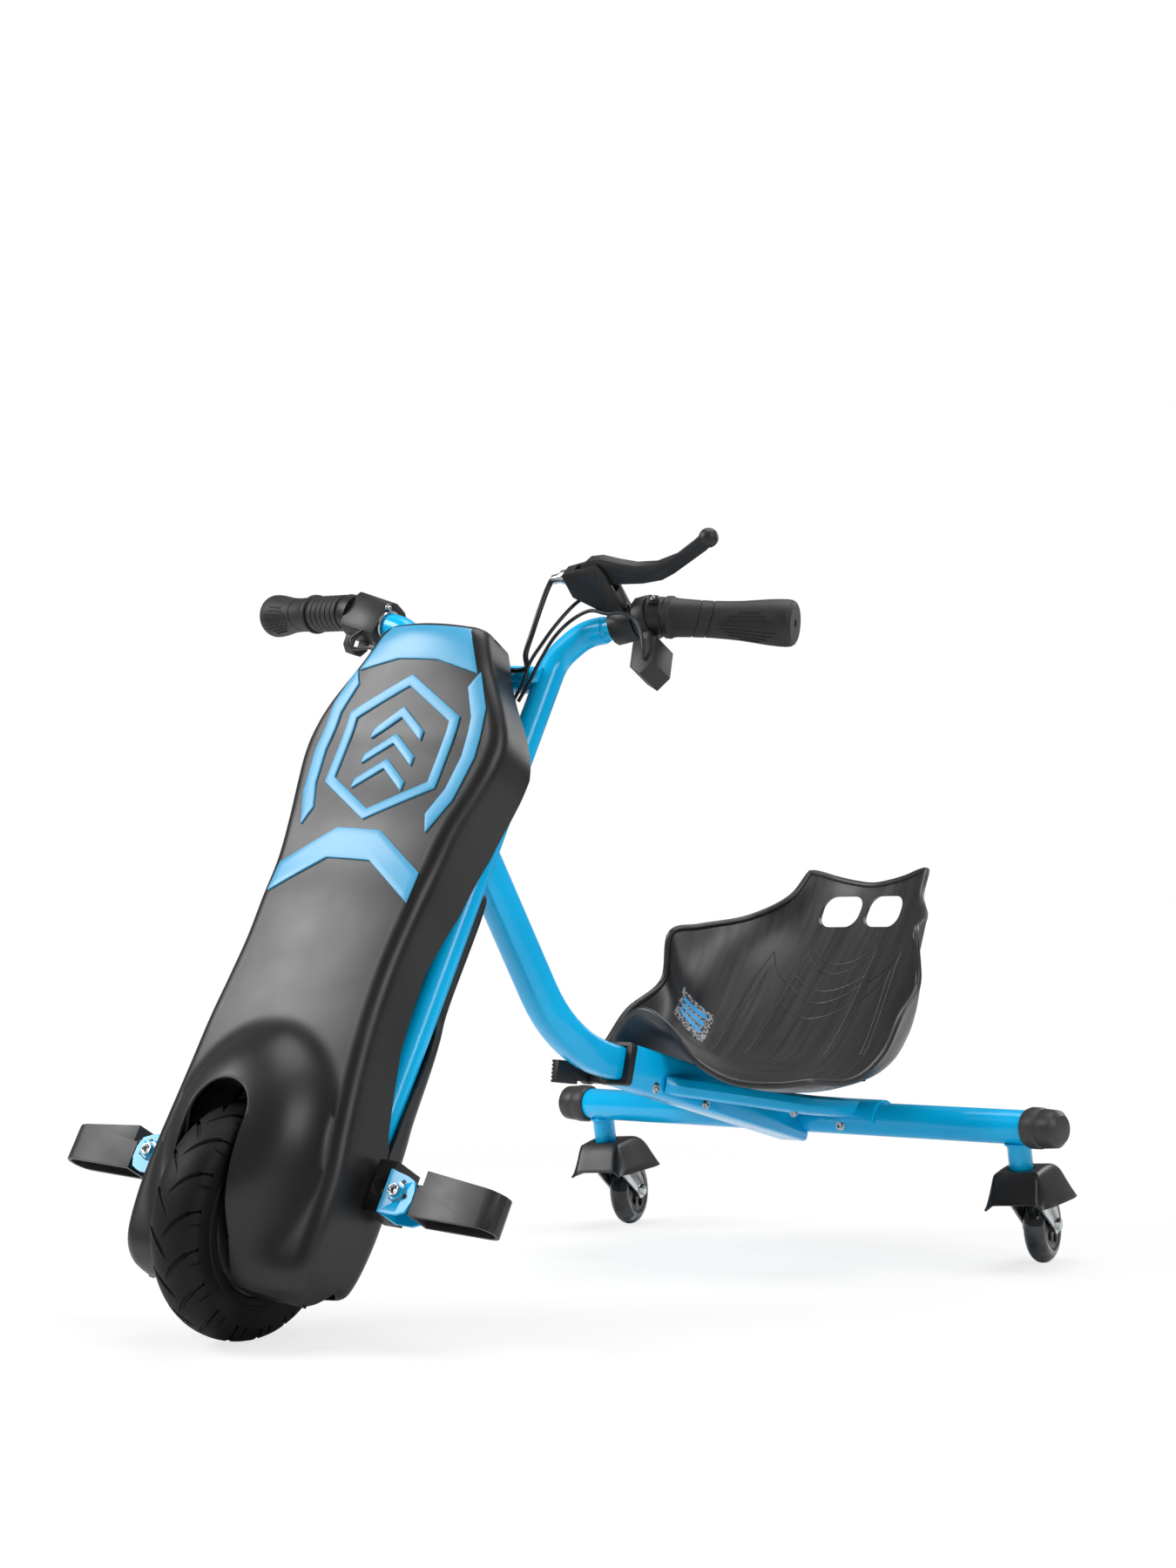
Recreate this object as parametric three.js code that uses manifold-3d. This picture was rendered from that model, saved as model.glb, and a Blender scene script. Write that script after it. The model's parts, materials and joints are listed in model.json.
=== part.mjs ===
// A child's electric drift trike: front-wheel drive, raked twin-tube fork in a moulded shroud,
// telescoping neck, bucket seat and two inclined rear casters. Millimetres, +Z up, facing -Y.

import * as THREE from "three";
import { mergeVertices } from "three/addons/utils/BufferGeometryUtils.js";
import Module from "manifold-3d";

const wasm = await Module();
wasm.setup();

// Driving dimensions

const degrees = Math.PI / 180;
const runGap = 0.3; // gap between pieces that touch
const overrun = 20; // how far a cutting tool passes what it cuts
const roundSides = 14; // sides of a visible tube
const smallSides = 8; // sides of a pin or a bolt
const mergeDistance = 1e-4; // points nearer than this are one point

// The rest pose is the photographed one: bars turned a little, casters trailing askew.
const rest = { steer: 9.9 * degrees, leftCaster: 16.5 * degrees, rightCaster: 19 * degrees };

const wheel = { radius: 101.6, lead: 24 };
const head = { rake: 28.2 * degrees, y: 21.1, z: 90.3, clear: 24.6, radius: 20, bore: 16, pin: 6 };
const tube = { radius: 12.7, inset: 31, y: 4, low: -16, bendRadius: 39.1 };
const bar = { radius: 11.1, gripLength: 121 };
const neck = {
  width: 25,
  height: 33,
  wall: 2,
  joinAbove: 36.4,
  ahead: 85.2,
  bendRadius: 150,
  inserted: 172,
};
const rail = { width: 38, height: 41, wall: 2, slope: 15 * degrees, mouthY: 476, mouthZ: 207 };
const axleTube = { radius: 17, y: 750, z: 140, halfLength: 320 };
const caster = { inset: 43, lean: 8 * degrees, trail: 50, radius: 38, width: 22, stub: 12 };
const shroud = { low: -62, height: 620, halfWidth: 111, faceY: 72, wall: 3, corner: 15, crown: 5 };

// The cross tubes stand at shares of the shroud's height, and the head tube fits between them.
const crownLowShare = 0.635484;
const crownHighShare = 0.887097;
const crown = { boss: 15, bossReach: 19 };
crown.lowZ = shroud.height * crownLowShare;
crown.highZ = shroud.height * crownHighShare;
head.low = crown.lowZ + head.clear;
head.top = crown.highZ - head.clear;
head.length = head.top - head.low;
caster.x = axleTube.halfLength - caster.inset;
tube.x = shroud.halfWidth - tube.inset;

// The front wheel and its drive take shares of the room between the fork tubes.
const wheelWidthShare = 0.625;
wheel.width = tube.x * wheelWidthShare;

// Solids

function toSolid(geometry) {
  const bare = geometry.index ? geometry.toNonIndexed() : geometry.clone();
  bare.deleteAttribute("normal");
  bare.deleteAttribute("uv");
  const merged = mergeVertices(bare, mergeDistance);
  const vertProperties = new Float32Array(merged.attributes.position.array);
  return new wasm.Manifold(
    new wasm.Mesh({ numProp: 3, vertProperties, triVerts: new Uint32Array(merged.index.array) }),
  );
}

function fromSolid(solid) {
  const { vertProperties, triVerts } = solid.getMesh();
  const geometry = new THREE.BufferGeometry();
  geometry.setAttribute("position", new THREE.BufferAttribute(new Float32Array(vertProperties), 3));
  geometry.setIndex(new THREE.BufferAttribute(new Uint32Array(triVerts), 1));
  return geometry;
}

const join = (first, ...others) =>
  fromSolid(others.reduce((sum, other) => sum.add(toSolid(other)), toSolid(first)));
const cut = (first, ...tools) =>
  fromSolid(tools.reduce((left, tool) => left.subtract(toSolid(tool)), toSolid(first)));
const shared = (first, second) => fromSolid(toSolid(first).intersect(toSolid(second)));

// The same form on the other side, its faces turned back out.
function mirrorX(geometry) {
  const flipped = geometry.clone().scale(-1, 1, 1);
  return flipped.setIndex(Array.from(flipped.index.array).reverse());
}
const onSide = (geometry, sign) => (sign > 0 ? geometry : mirrorX(geometry));

// Basic forms, each centred on the origin

const box = (x, y, z) => new THREE.BoxGeometry(x, y, z);
const rodY = (radius, length, sides = smallSides, endRadius = radius) =>
  new THREE.CylinderGeometry(endRadius, radius, length, sides);
const rodX = (radius, length, sides, endRadius) => rodY(
  radius,
  length,
  sides,
  endRadius,
).rotateZ(-Math.PI / 2);
const rodZ = (radius, length, sides, endRadius) => rodY(
  radius,
  length,
  sides,
  endRadius,
).rotateX(Math.PI / 2);

// A turned form about Y from [radius, height] pairs that run up the outside.
const turned = (profile, sides = roundSides) =>
  new THREE.LatheGeometry(profile.map(([radius, height]) => new THREE.Vector2(radius, height)), sides);
// A bore's corner radius that leaves the run gap at its flats.
const boreRadius = (radius, sides = smallSides) => (radius + runGap) / Math.cos(Math.PI / sides);
const ringY = (inner, outer, length, sides) =>
  turned([
    [inner, -length / 2],
    [outer, -length / 2],
    [outer, length / 2],
    [inner, length / 2],
    [inner, -length / 2],
  ], sides);
const ringX = (inner, outer, length, sides) => ringY(inner, outer, length, sides).rotateZ(-Math.PI / 2);
const ringZ = (inner, outer, length, sides) => ringY(inner, outer, length, sides).rotateX(Math.PI / 2);

const shapeOf = (outline) => new THREE.Shape(outline.map(([x, y]) => new THREE.Vector2(x, y)));
const circle = (radius, sides) =>
  Array.from({ length: sides }, (unused, i) => {
    const angle = (2 * Math.PI * i) / sides;
    return [radius * Math.cos(angle), radius * Math.sin(angle)];
  });
const rectangle = (width, height) => [
  [-width / 2, -height / 2],
  [width / 2, -height / 2],
  [width / 2, height / 2],
  [-width / 2, height / 2],
];

// An outline in X and Y, raised evenly to both sides of Z = 0.
const prismZ = (outline, depth) =>
  new THREE.ExtrudeGeometry(shapeOf(outline), { depth, bevelEnabled: false }).translate(0, 0, -depth / 2);
// An outline in X and Z, raised to both sides of Y = 0.
const prismY = (outline, depth) => prismZ(outline.map(([x, z]) => [x, -z]), depth).rotateX(-Math.PI / 2);
// An outline in Y and Z, raised to both sides of X = 0.
const prismX = (outline, depth) => prismZ(outline, depth).rotateY(Math.PI / 2).rotateX(Math.PI / 2);

// A path whose steps fall on chosen points, so straight runs need no steps between.
class StationPath extends THREE.Curve {
  constructor(points) {
    super();
    this.points = points;
  }

  getPointAt(share, target = new THREE.Vector3()) {
    const last = this.points.length - 1;
    const place = Math.min(share * last, last);
    const index = Math.min(Math.round(place - place % 1), last - 1);
    return target.lerpVectors(this.points[index], this.points[index + 1], place - index);
  }

  getPoint(share, target) {
    return this.getPointAt(share, target);
  }

  getTangentAt(share, target = new THREE.Vector3()) {
    const last = this.points.length - 1;
    const index = Math.round(share * last);
    const after = this.points[Math.min(index + 1, last)].clone().sub(
      this.points[Math.min(index, last - 1)],
    );
    const before = this.points[Math.max(index, 1)].clone().sub(this.points[Math.max(index - 1, 0)]);
    return target.copy(after.normalize().add(before.normalize()).normalize());
  }
}

// The corners of a bent tube, with each inner corner rounded to its bend radius.
function bent(corners, radius, steps) {
  const points = corners.map((corner) => new THREE.Vector3(...corner));
  const stations = [points[0]];
  for (let i = 1; i < points.length - 1; i++) {
    const into = points[i].clone().sub(points[i - 1]).normalize();
    const out = points[i + 1].clone().sub(points[i]).normalize();
    const angle = into.angleTo(out);
    const start = points[i].clone().addScaledVector(into, -radius * Math.tan(angle / 2));
    const axis = new THREE.Vector3().crossVectors(into, out).normalize();
    const centre = start.clone().addScaledVector(new THREE.Vector3().crossVectors(axis, into), radius);
    for (let step = 0; step <= steps; step++) {
      const arm = start.clone().sub(centre).applyAxisAngle(axis, (angle * step) / steps);
      stations.push(centre.clone().add(arm));
    }
  }
  stations.push(points[points.length - 1]);
  return stations;
}

const sweep = (outline, stations) =>
  new THREE.ExtrudeGeometry(shapeOf(outline), {
    steps: stations.length - 1,
    extrudePath: new StationPath(stations),
  });

// A skin through rings of as many points each, counter-clockwise seen from the last ring.
function loft(rings) {
  const count = rings[0].length;
  const positions = rings.flat().flatMap((point) => [point.x, point.y, point.z]);
  const middles = [rings[0], rings[rings.length - 1]].map((ring) =>
    ring.reduce((sum, point) => sum.add(point), new THREE.Vector3()).divideScalar(count),
  );
  middles.forEach((middle) => positions.push(middle.x, middle.y, middle.z));
  const indices = [];
  const first = rings.length * count;
  const top = (rings.length - 1) * count;
  for (let i = 0; i < count; i++) {
    const next = (i + 1) % count;
    for (let level = 0; level < top; level += count) {
      indices.push(level + i, level + next, level + count + next);
      indices.push(level + i, level + count + next, level + count + i);
    }
    indices.push(first, next, i);
    indices.push(first + 1, top + i, top + next);
  }
  const geometry = new THREE.BufferGeometry();
  geometry.setAttribute("position", new THREE.Float32BufferAttribute(positions, 3));
  geometry.setIndex(indices);
  return geometry;
}

// The group and its colours

const trike = new THREE.Group();
const steeringAxis = new THREE.Group();
steeringAxis.position.set(0, head.y, head.z);
steeringAxis.rotation.x = -head.rake;
const steered = new THREE.Group();
steered.rotation.z = rest.steer;
steeringAxis.add(steered);
trike.add(steeringAxis);

const finishes = {
  bluePaint: { color: 0x08a4de, roughness: 0.3, metalness: 0.2 },
  blueTrim: { color: 0x5ab6e8, roughness: 0.4, metalness: 0 },
  blackPlastic: { color: 0x222224, roughness: 0.55, metalness: 0 },
  blackPaint: { color: 0x18181a, roughness: 0.4, metalness: 0.2 },
  blackRubber: { color: 0x1b1b1d, roughness: 0.85, metalness: 0 },
  smokedWheel: { color: 0x2b2d30, roughness: 0.15, metalness: 0 },
  zinc: { color: 0xc4c8cc, roughness: 0.3, metalness: 1 },
  steel: { color: 0x9b9ea2, roughness: 0.35, metalness: 1 },
  batteryCase: { color: 0x3a3f47, roughness: 0.6, metalness: 0 },
};

function add(parent, name, geometry, finish) {
  const mesh = new THREE.Mesh(geometry, new THREE.MeshStandardMaterial(finishes[finish]));
  mesh.name = name;
  mesh.geometry.computeVertexNormals();
  parent.add(mesh);
  return mesh;
}

const sides = [
  { name: "left", sign: 1 },
  { name: "right", sign: -1 },
];

// Fork and handlebar: two steel tubes from the axle plates to the grips, tied by two cross tubes

const elbow = { above: 25, kneeOut: 23, kneeY: 2.5, kneeAbove: 52, swageOut: 44, swageAbove: 57 };
const turn = { out: 96, y: -2, above: 69.5 };
const barEnd = { out: 219, y: 27.5, above: 82.8 };
elbow.kneeX = tube.x + elbow.kneeOut;
elbow.swageX = tube.x + elbow.swageOut;
turn.x = tube.x + turn.out;
barEnd.x = tube.x + barEnd.out;
elbow.z = crown.highZ + elbow.above;
elbow.kneeZ = crown.highZ + elbow.kneeAbove;
elbow.swageZ = crown.highZ + elbow.swageAbove;
turn.z = crown.highZ + turn.above;
barEnd.z = crown.highZ + barEnd.above;
const kneeShare = 1.15;
const riseShare = 0.24;
const inner = { x: elbow.kneeX * kneeShare, y: elbow.kneeY };
inner.z = elbow.swageZ - (elbow.swageX - inner.x) * riseShare;
const bendSteps = 4;
const turnSteps = 2;
const plate = { thickness: 6, front: -42, rear: 20, low: -18, high: 16, shoulder: 34, neckY: -8 };
const axle = { radius: 5, nut: 8.5, nutLength: 7 };

function handlebarTube({ sign }) {
  const lower = bent(
    [
      [sign * tube.x, tube.y, tube.low],
      [sign * tube.x, tube.y, elbow.z],
      [sign * elbow.kneeX, elbow.kneeY, elbow.kneeZ],
      [sign * elbow.swageX, elbow.kneeY, elbow.swageZ],
    ],
    tube.bendRadius,
    bendSteps,
  );
  const upper = bent(
    [
      [sign * inner.x, inner.y, inner.z],
      [sign * turn.x, turn.y, turn.z],
      [sign * barEnd.x, barEnd.y, barEnd.z],
    ],
    tube.bendRadius,
    turnSteps,
  );
  const dropout = prismX(
    [
      [plate.front, plate.low],
      [plate.rear, plate.low],
      [plate.rear, plate.shoulder],
      [plate.neckY, plate.shoulder],
      [plate.front, plate.high],
    ],
    plate.thickness,
  ).translate(sign * tube.x, 0, 0);
  const hole = rodX(axle.radius + runGap, tube.x).translate(sign * tube.x, -wheel.lead, 0);
  return cut(join(
    sweep(circle(tube.radius, roundSides), lower),
    sweep(circle(bar.radius, roundSides), upper),
    dropout,
  ), hole);
}

function crownTube(z, bossStart, bossEnd) {
  const cross = rodX(tube.radius, 2 * tube.x, roundSides).translate(0, 0, z);
  const boss = rodZ(crown.boss, bossEnd - bossStart, roundSides).translate(0, 0, (bossStart + bossEnd) / 2);
  const cope = sides.map(({ sign }) =>
    rodZ(tube.radius + runGap, head.length, roundSides * 2).translate(sign * tube.x, tube.y, z),
  );
  return cut(join(cross, boss), ...cope, rodZ(head.pin + runGap, head.length).translate(0, 0, z));
}

const pin = { headRadius: 10, headLength: 7, nutLength: 8 };

function steeringPin() {
  const top = crown.highZ + tube.radius + runGap;
  const bottom = crown.lowZ - tube.radius - runGap;
  const shank = rodZ(head.pin, top - bottom).translate(0, 0, (top + bottom) / 2);
  const cap = rodZ(pin.headRadius, pin.headLength, 6).translate(0, 0, top + pin.headLength / 2);
  const nut = rodZ(pin.headRadius, pin.nutLength, 6).translate(0, 0, bottom - pin.nutLength / 2);
  return join(shank, cap, nut);
}

// Shroud: two moulded shells that meet in a seam beside the fork tubes

// Each row: height, half width and distance of the front face ahead of the steering axis.
const frontShellShares = [
  [-0.1, 0.76, 0.42],
  [-0.089, 0.855, 0.62],
  [-0.06, 0.915, 0.76],
  [0, 0.941, 0.826],
  [0.0645, 0.936, 0.853],
  [0.129, 0.893, 0.908],
  [0.1935, 0.853, 0.957],
  [0.258, 0.823, 0.993],
  [0.3226, 0.797, 0.992],
  [0.387, 0.787, 0.976],
  [0.4516, 0.803, 0.963],
  [0.516, 0.823, 0.932],
  [0.58, 0.867, 0.944],
  [0.645, 0.95, 0.921],
  [0.69, 0.993, 0.918],
  [0.73, 0.99, 0.925],
  [0.774, 0.894, 0.99],
  [0.839, 0.673, 1.082],
  [0.884, 0.55, 1.139],
  [0.9, 0.5, 1.09],
];
// Rear edge of the front shell: height, and distance behind the steering axis.
const frontEdgeShares = [
  [-0.12, -0.35],
  [-0.068, -0.056],
  [-0.02, 0.02],
  [0.14, 0.02],
  [0.157, -0.07],
  [0.271, -0.29],
  [0.387, -0.305],
  [0.45, -0.21],
  [0.49, -0.125],
  [0.54, -0.097],
  [0.583, -0.06],
  [0.62, -0.09],
  [0.71, -0.125],
  [0.806, -0.403],
  [0.92, -0.48],
];
// Rear shell: height, half width and distance of the rear face behind the steering axis.
const rearShellShares = [
  [-0.072, 0.8, 0.24],
  [-0.055, 0.87, 0.4],
  [0.02, 0.895, 0.48],
  [0.14, 0.894, 0.44],
  [0.195, 0.873, 0.43],
  [0.274, 0.855, 0.44],
  [0.323, 0.795, 0.52],
  [0.38, 0.735, 0.57],
  [0.53, 0.73, 0.58],
  [0.556, 0.69, 0.54],
  [0.565, 0.62, 0.47],
];
const rearEdgeShares = [
  [-0.1, 0.06],
  [-0.068, 0.04],
  [-0.02, 0.04],
  [0.14, 0.04],
  [0.195, 0.09],
  [0.274, 0.17],
  [0.323, 0.26],
  [0.6, 0.28],
];
const crownShares = [-0.5, 0, 0.5];
const cornerSteps = 3;

// One ring of a shell at its height, its open side at `back` and its face at `face`.
function shellRing(height, halfWidth, face, back, corner) {
  const toward = Math.sign(back - face);
  const middleX = halfWidth - corner;
  const arc = Array.from({ length: cornerSteps }, (unused, i) => {
    const angle = (Math.PI / 2) * (i / (cornerSteps - 1));
    return [middleX + corner * Math.cos(angle), face + toward * corner * (1 - Math.sin(angle))];
  });
  const points = [
    [halfWidth, back],
    ...arc,
    ...crownShares.map((share) => [-share * middleX, face - toward * shroud.crown * (1 - share * share)]),
    ...arc.map(([x, y]) => [-x, y]).reverse(),
    [-halfWidth, back],
  ];
  const ring = points.map(([x, y]) => new THREE.Vector3(x, y, height));
  return toward > 0 ? ring.reverse() : ring;
}

function shellBody(rowShares, facing, back, inset) {
  const rings = rowShares.map(([up, out, ahead], i) => {
    const end = i === 0 ? 1 : i === rowShares.length - 1 ? -1 : 0;
    return shellRing(
      up * shroud.height + end * inset,
      out * shroud.halfWidth - inset,
      facing * (ahead * shroud.faceY - inset),
      back,
      shroud.corner - inset,
    );
  });
  return loft(rings);
}

const bulgeWidthShare = 0.684685;
const bulge = { y: -64, z: 58, x: shroud.halfWidth * bulgeWidthShare, depth: 50, height: 100 };
const bulgeAcross = 20;
const bulgeUp = 10;
const slot = { room: 6, centre: 62, lip: 3, lipY: -86, rearTop: 105 };
slot.halfWidth = wheel.width / 2 + slot.room;
const seam = { boss: 6.5, y: 2, z: 50 };
const screwBoss = { radius: 6, rearZ: 70 };
const screwBossShare = 0.315315;
screwBoss.x = shroud.halfWidth * screwBossShare;
const lowBossShare = 0.965;
const highBossShare = 1.13;
const rearBossShare = 0.42;

const bulgeForm = (inset) =>
  new THREE.SphereGeometry(1, bulgeAcross, bulgeUp)
    .rotateX(Math.PI / 2)
    .scale(bulge.x - inset, bulge.depth - inset, bulge.height - inset)
    .translate(0, bulge.y, bulge.z);

function slotForm(grow, depth) {
  const arch = Array.from({ length: roundSides / 2 + 1 }, (unused, i) => {
    const angle = (2 * Math.PI * i) / roundSides;
    const radius = slot.halfWidth + grow;
    return [radius * Math.cos(angle), slot.centre + radius * Math.sin(angle)];
  });
  const floor = shroud.low - overrun;
  const outline = [[slot.halfWidth + grow, floor], ...arch, [-slot.halfWidth - grow, floor]];
  return prismY(outline, depth);
}

function edgeCut(edgeShares, direction) {
  const far = direction * shroud.halfWidth * 2;
  const edge = edgeShares.map(([up, back]) => [back * shroud.faceY, up * shroud.height]);
  const outline = [[far, edge[0][1] - overrun], [edge[0][0], edge[0][1] - overrun], ...edge];
  outline.push([edge[edge.length - 1][0], shroud.height + overrun], [far, shroud.height + overrun]);
  return prismX(direction > 0 ? outline.reverse() : outline, shroud.halfWidth * 3);
}

function frontShell() {
  const back = shroud.halfWidth / 2;
  const outer = join(shellBody(frontShellShares, -1, back, 0), bulgeForm(0));
  const inner = join(shellBody(frontShellShares, -1, back + overrun, shroud.wall), bulgeForm(shroud.wall));
  const skin = cut(outer, inner, edgeCut(frontEdgeShares, 1));
  const lipZone = box(shroud.halfWidth, shroud.halfWidth, shroud.height);
  lipZone.translate(0, slot.lipY - shroud.halfWidth / 2, shroud.height / 2 + shroud.low);
  const lip = shared(shared(slotForm(slot.lip, shroud.height), outer), lipZone);
  const boss = (x, z, startShare) => {
    const start = -shroud.faceY * startShare;
    return rodY(screwBoss.radius, -start).translate(x, start / 2, z);
  };
  const bosses = [1, -1].flatMap((sign) => [
    boss(sign * screwBoss.x, crown.lowZ, lowBossShare),
    boss(sign * screwBoss.x, crown.highZ - screwBoss.radius, highBossShare),
  ]);
  const bossHole = rodX(seam.boss + runGap, shroud.halfWidth * 3).translate(0, seam.y, seam.z);
  const crowns = [crown.lowZ, crown.highZ].map((z) =>
    rodX(tube.radius + runGap, shroud.halfWidth, roundSides).translate(0, 0, z),
  );
  return cut(join(skin, lip, ...bosses), slotForm(0, shroud.height), bossHole, ...crowns);
}

function rearShell() {
  const front = -shroud.halfWidth / 2;
  const outer = shellBody(rearShellShares, 1, front, 0);
  const inner = shellBody(rearShellShares, 1, front - overrun, shroud.wall);
  const skin = cut(outer, inner, edgeCut(rearEdgeShares, -1));
  const arch = box(2 * slot.halfWidth, shroud.height, slot.rearTop - shroud.low + overrun);
  arch.translate(0, 0, (slot.rearTop + shroud.low - overrun) / 2);
  const bosses = [1, -1].map((sign) =>
    rodY(screwBoss.radius, shroud.faceY * rearBossShare).translate(
      sign * tube.x,
      tube.y + shroud.faceY * rearBossShare / 2,
      screwBoss.rearZ,
    ),
  );
  const tubes = sides.map(({ sign }) =>
    rodZ(
      tube.radius + runGap,
      shroud.height,
      roundSides,
    ).translate(sign * tube.x, tube.y, shroud.height / 2),
  );
  const bossHole = rodX(seam.boss + runGap, shroud.halfWidth * 3).translate(0, seam.y, seam.z);
  return cut(join(skin, ...bosses), arch, bossHole, ...tubes);
}

// Raised trim on the upper face: slim bars that follow the face

const trim = { raise: 1.6, topHalf: 45, wingHalf: 67, middleHalf: 22, topDepth: 34, wingDrop: 10 };
const chevron = { bar: 30, half: 78, middleHalf: 24, drop: 36 };
const trimZoneShare = 0.85;
const trimTopShare = 0.893548;
const chevronShare = 0.516129;
trim.topZ = shroud.height * trimTopShare;
chevron.z = shroud.height * chevronShare;

function faceTrim(outline) {
  const proud = shellBody(frontShellShares, -1, 0, -trim.raise);
  const deep = shellBody(frontShellShares, -1, overrun, -runGap);
  const front = box(shroud.halfWidth * 3, shroud.halfWidth, shroud.height * 2);
  front.translate(0, -shroud.faceY * trimZoneShare - shroud.halfWidth / 2, 0);
  return shared(shared(cut(proud, deep), front), prismY(outline, shroud.halfWidth * 3));
}

const mirrored = (half) => [...half, ...half.map(([x, z]) => [-x, z]).reverse()];

const trimTop = () =>
  faceTrim(
    mirrored([
      [trim.topHalf, trim.topZ],
      [trim.wingHalf, trim.topZ - trim.topDepth - trim.wingDrop],
      [trim.middleHalf, trim.topZ - trim.topDepth],
    ]),
  );

const trimBottom = () =>
  faceTrim(
    mirrored([
      [chevron.middleHalf, chevron.z + chevron.bar],
      [chevron.half, chevron.z + chevron.bar - chevron.drop],
      [chevron.half, chevron.z - chevron.drop],
      [chevron.middleHalf, chevron.z],
    ]),
  );

// Inside the shroud

const battery = { clear: 18, front: -60, rear: 6, low: 210 };
battery.width = 2 * (tube.x - battery.clear);
const controller = { width: 90, depth: 24, lift: 15, clear: 54 };
controller.low = battery.low + controller.lift;
controller.high = crown.lowZ - controller.clear;
const motor = { radius: 38, clear: 25, y: -14, z: 160, plate: 4, plateHeight: 28, plateRise: 34, shaft: 4 };
const motorRightShare = 0.425;
motor.left = tube.x - motor.clear;
motor.right = -tube.x * motorRightShare;

function batteryPack() {
  const top = crown.lowZ - tube.radius - runGap;
  const pack = box(battery.width, battery.rear - battery.front, top - battery.low);
  pack.translate(0, (battery.rear + battery.front) / 2, (top + battery.low) / 2);
  const pinRoom = rodZ(pin.headRadius + screwBoss.radius, battery.low).translate(0, 0, top);
  const bosses = sides.map(({ sign }) =>
    rodY(screwBoss.radius * 2, battery.width).translate(sign * screwBoss.x, 0, crown.lowZ),
  );
  return cut(pack, pinRoom, ...bosses);
}

function controllerBox() {
  const height = controller.high - controller.low;
  const y = battery.rear + runGap + controller.depth / 2;
  return box(controller.width, controller.depth, height).translate(
    0,
    y,
    (controller.high + controller.low) / 2,
  );
}

const drive = { pitch: 8, wheelTeeth: 24, motorTeeth: 12, plate: 2.6, link: 3.4, width: 6.4, tooth: 2.6 };
const driveShare = 0.5625;
drive.x = -tube.x * driveShare;
const toothShare = 0.2;
const waistShare = 0.6;
const pitchRadius = (teeth) => drive.pitch / (2 * Math.sin(Math.PI / teeth));

function driveMotor() {
  const length = motor.left - motor.right;
  const can = rodX(motor.radius, length, roundSides).translate(
    (motor.left + motor.right) / 2,
    motor.y,
    motor.z,
  );
  const span = 2 * (tube.x - tube.radius - runGap);
  const bracket = box(span, motor.plate, motor.plateHeight).translate(0, tube.y, motor.z + motor.plateRise);
  const shaftRoom = rodX(boreRadius(motor.shaft), overrun * 2).translate(motor.right, motor.y, motor.z);
  return cut(join(can, bracket), shaftRoom);
}

// A toothed plate about X; its teeth stand just inside the chain's rollers.
function sprocketPlate(teeth) {
  const outline = Array.from({ length: teeth * 4 }, (unused, i) => {
    const angle = (Math.PI * (i + 0.5)) / (teeth * 2);
    const radius = pitchRadius(teeth) + (i % 4 === 1 || i % 4 === 2 ? toothShare : -1) * drive.tooth;
    return [radius * Math.cos(angle), radius * Math.sin(angle)];
  });
  return prismX(outline, drive.plate);
}

function motorSprocket() {
  const shaftLength = drive.x - motor.right;
  const shaft = rodX(motor.shaft, Math.abs(shaftLength) + overrun - runGap * 2);
  shaft.translate((overrun + shaftLength) / 2 - drive.plate * 2, 0, 0);
  const boss = rodX(motor.shaft * 2, drive.plate * 3);
  return join(sprocketPlate(drive.motorTeeth), shaft, boss);
}

function wheelSprocket() {
  const bore = rodX(hub.flange, drive.plate * 3, roundSides);
  return cut(sprocketPlate(drive.wheelTeeth), bore);
}

// The chain: a scalloped band round both sprockets, with room left for their teeth.
function driveChain() {
  const wheelRadius = pitchRadius(drive.wheelTeeth);
  const motorRadius = pitchRadius(drive.motorTeeth);
  const dy = motor.y + wheel.lead;
  const distance = Math.hypot(dy, motor.z);
  const open = Math.asin((wheelRadius - motorRadius) / distance);
  const along = Math.atan2(motor.z, dy);
  const straight = distance * Math.cos(open);
  const bigArc = (Math.PI + 2 * open) * wheelRadius;
  const smallArc = (Math.PI - 2 * open) * motorRadius;
  const total = 2 * straight + bigArc + smallArc;
  const links = 2 * Math.round(total / (2 * drive.pitch));
  const point = (walk, offset) => {
    const arc = (radius, centre, start, run) => {
      const angle = start + run / radius;
      const reach = radius + offset;
      return [centre[0] + reach * Math.cos(angle), centre[1] + reach * Math.sin(angle)];
    };
    const half = Math.PI / 2 - open;
    const motorCentre = [dy, motor.z];
    if (walk < smallArc) return arc(motorRadius, motorCentre, along - half, walk);
    if (walk < smallArc + straight) {
      const from = arc(motorRadius, motorCentre, along + half, 0);
      const to = arc(wheelRadius, [0, 0], along + half, 0);
      const share = (walk - smallArc) / straight;
      return from.map((value, i) => value + (to[i] - value) * share);
    }
    if (walk < smallArc + straight + bigArc) {
      return arc(wheelRadius, [0, 0], along + half, walk - smallArc - straight);
    }
    const from = arc(wheelRadius, [0, 0], along - half, 0);
    const to = arc(motorRadius, motorCentre, along - half, 0);
    const share = (walk - smallArc - straight - bigArc) / straight;
    return from.map((value, i) => value + (to[i] - value) * share);
  };
  const run = total / (links * 2);
  const band = (side) =>
    Array.from({ length: links * 2 }, (unused, i) => {
      const waist = i % 2 ? waistShare : 1;
      return point(i * run, side * drive.link * waist);
    });
  const outer = prismX(band(1), drive.width);
  const inner = prismX(band(-1), drive.width + overrun);
  const room = drive.plate + 2 * runGap;
  const wheelRoom = rodX(wheelRadius + drive.tooth * toothShare + 2 * runGap, room, roundSides * 2);
  const motorRoom = rodX(motorRadius + drive.tooth * toothShare + 2 * runGap, room, roundSides);
  return cut(outer, inner, wheelRoom, motorRoom.translate(0, dy, motor.z));
}

// Front wheel

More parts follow.
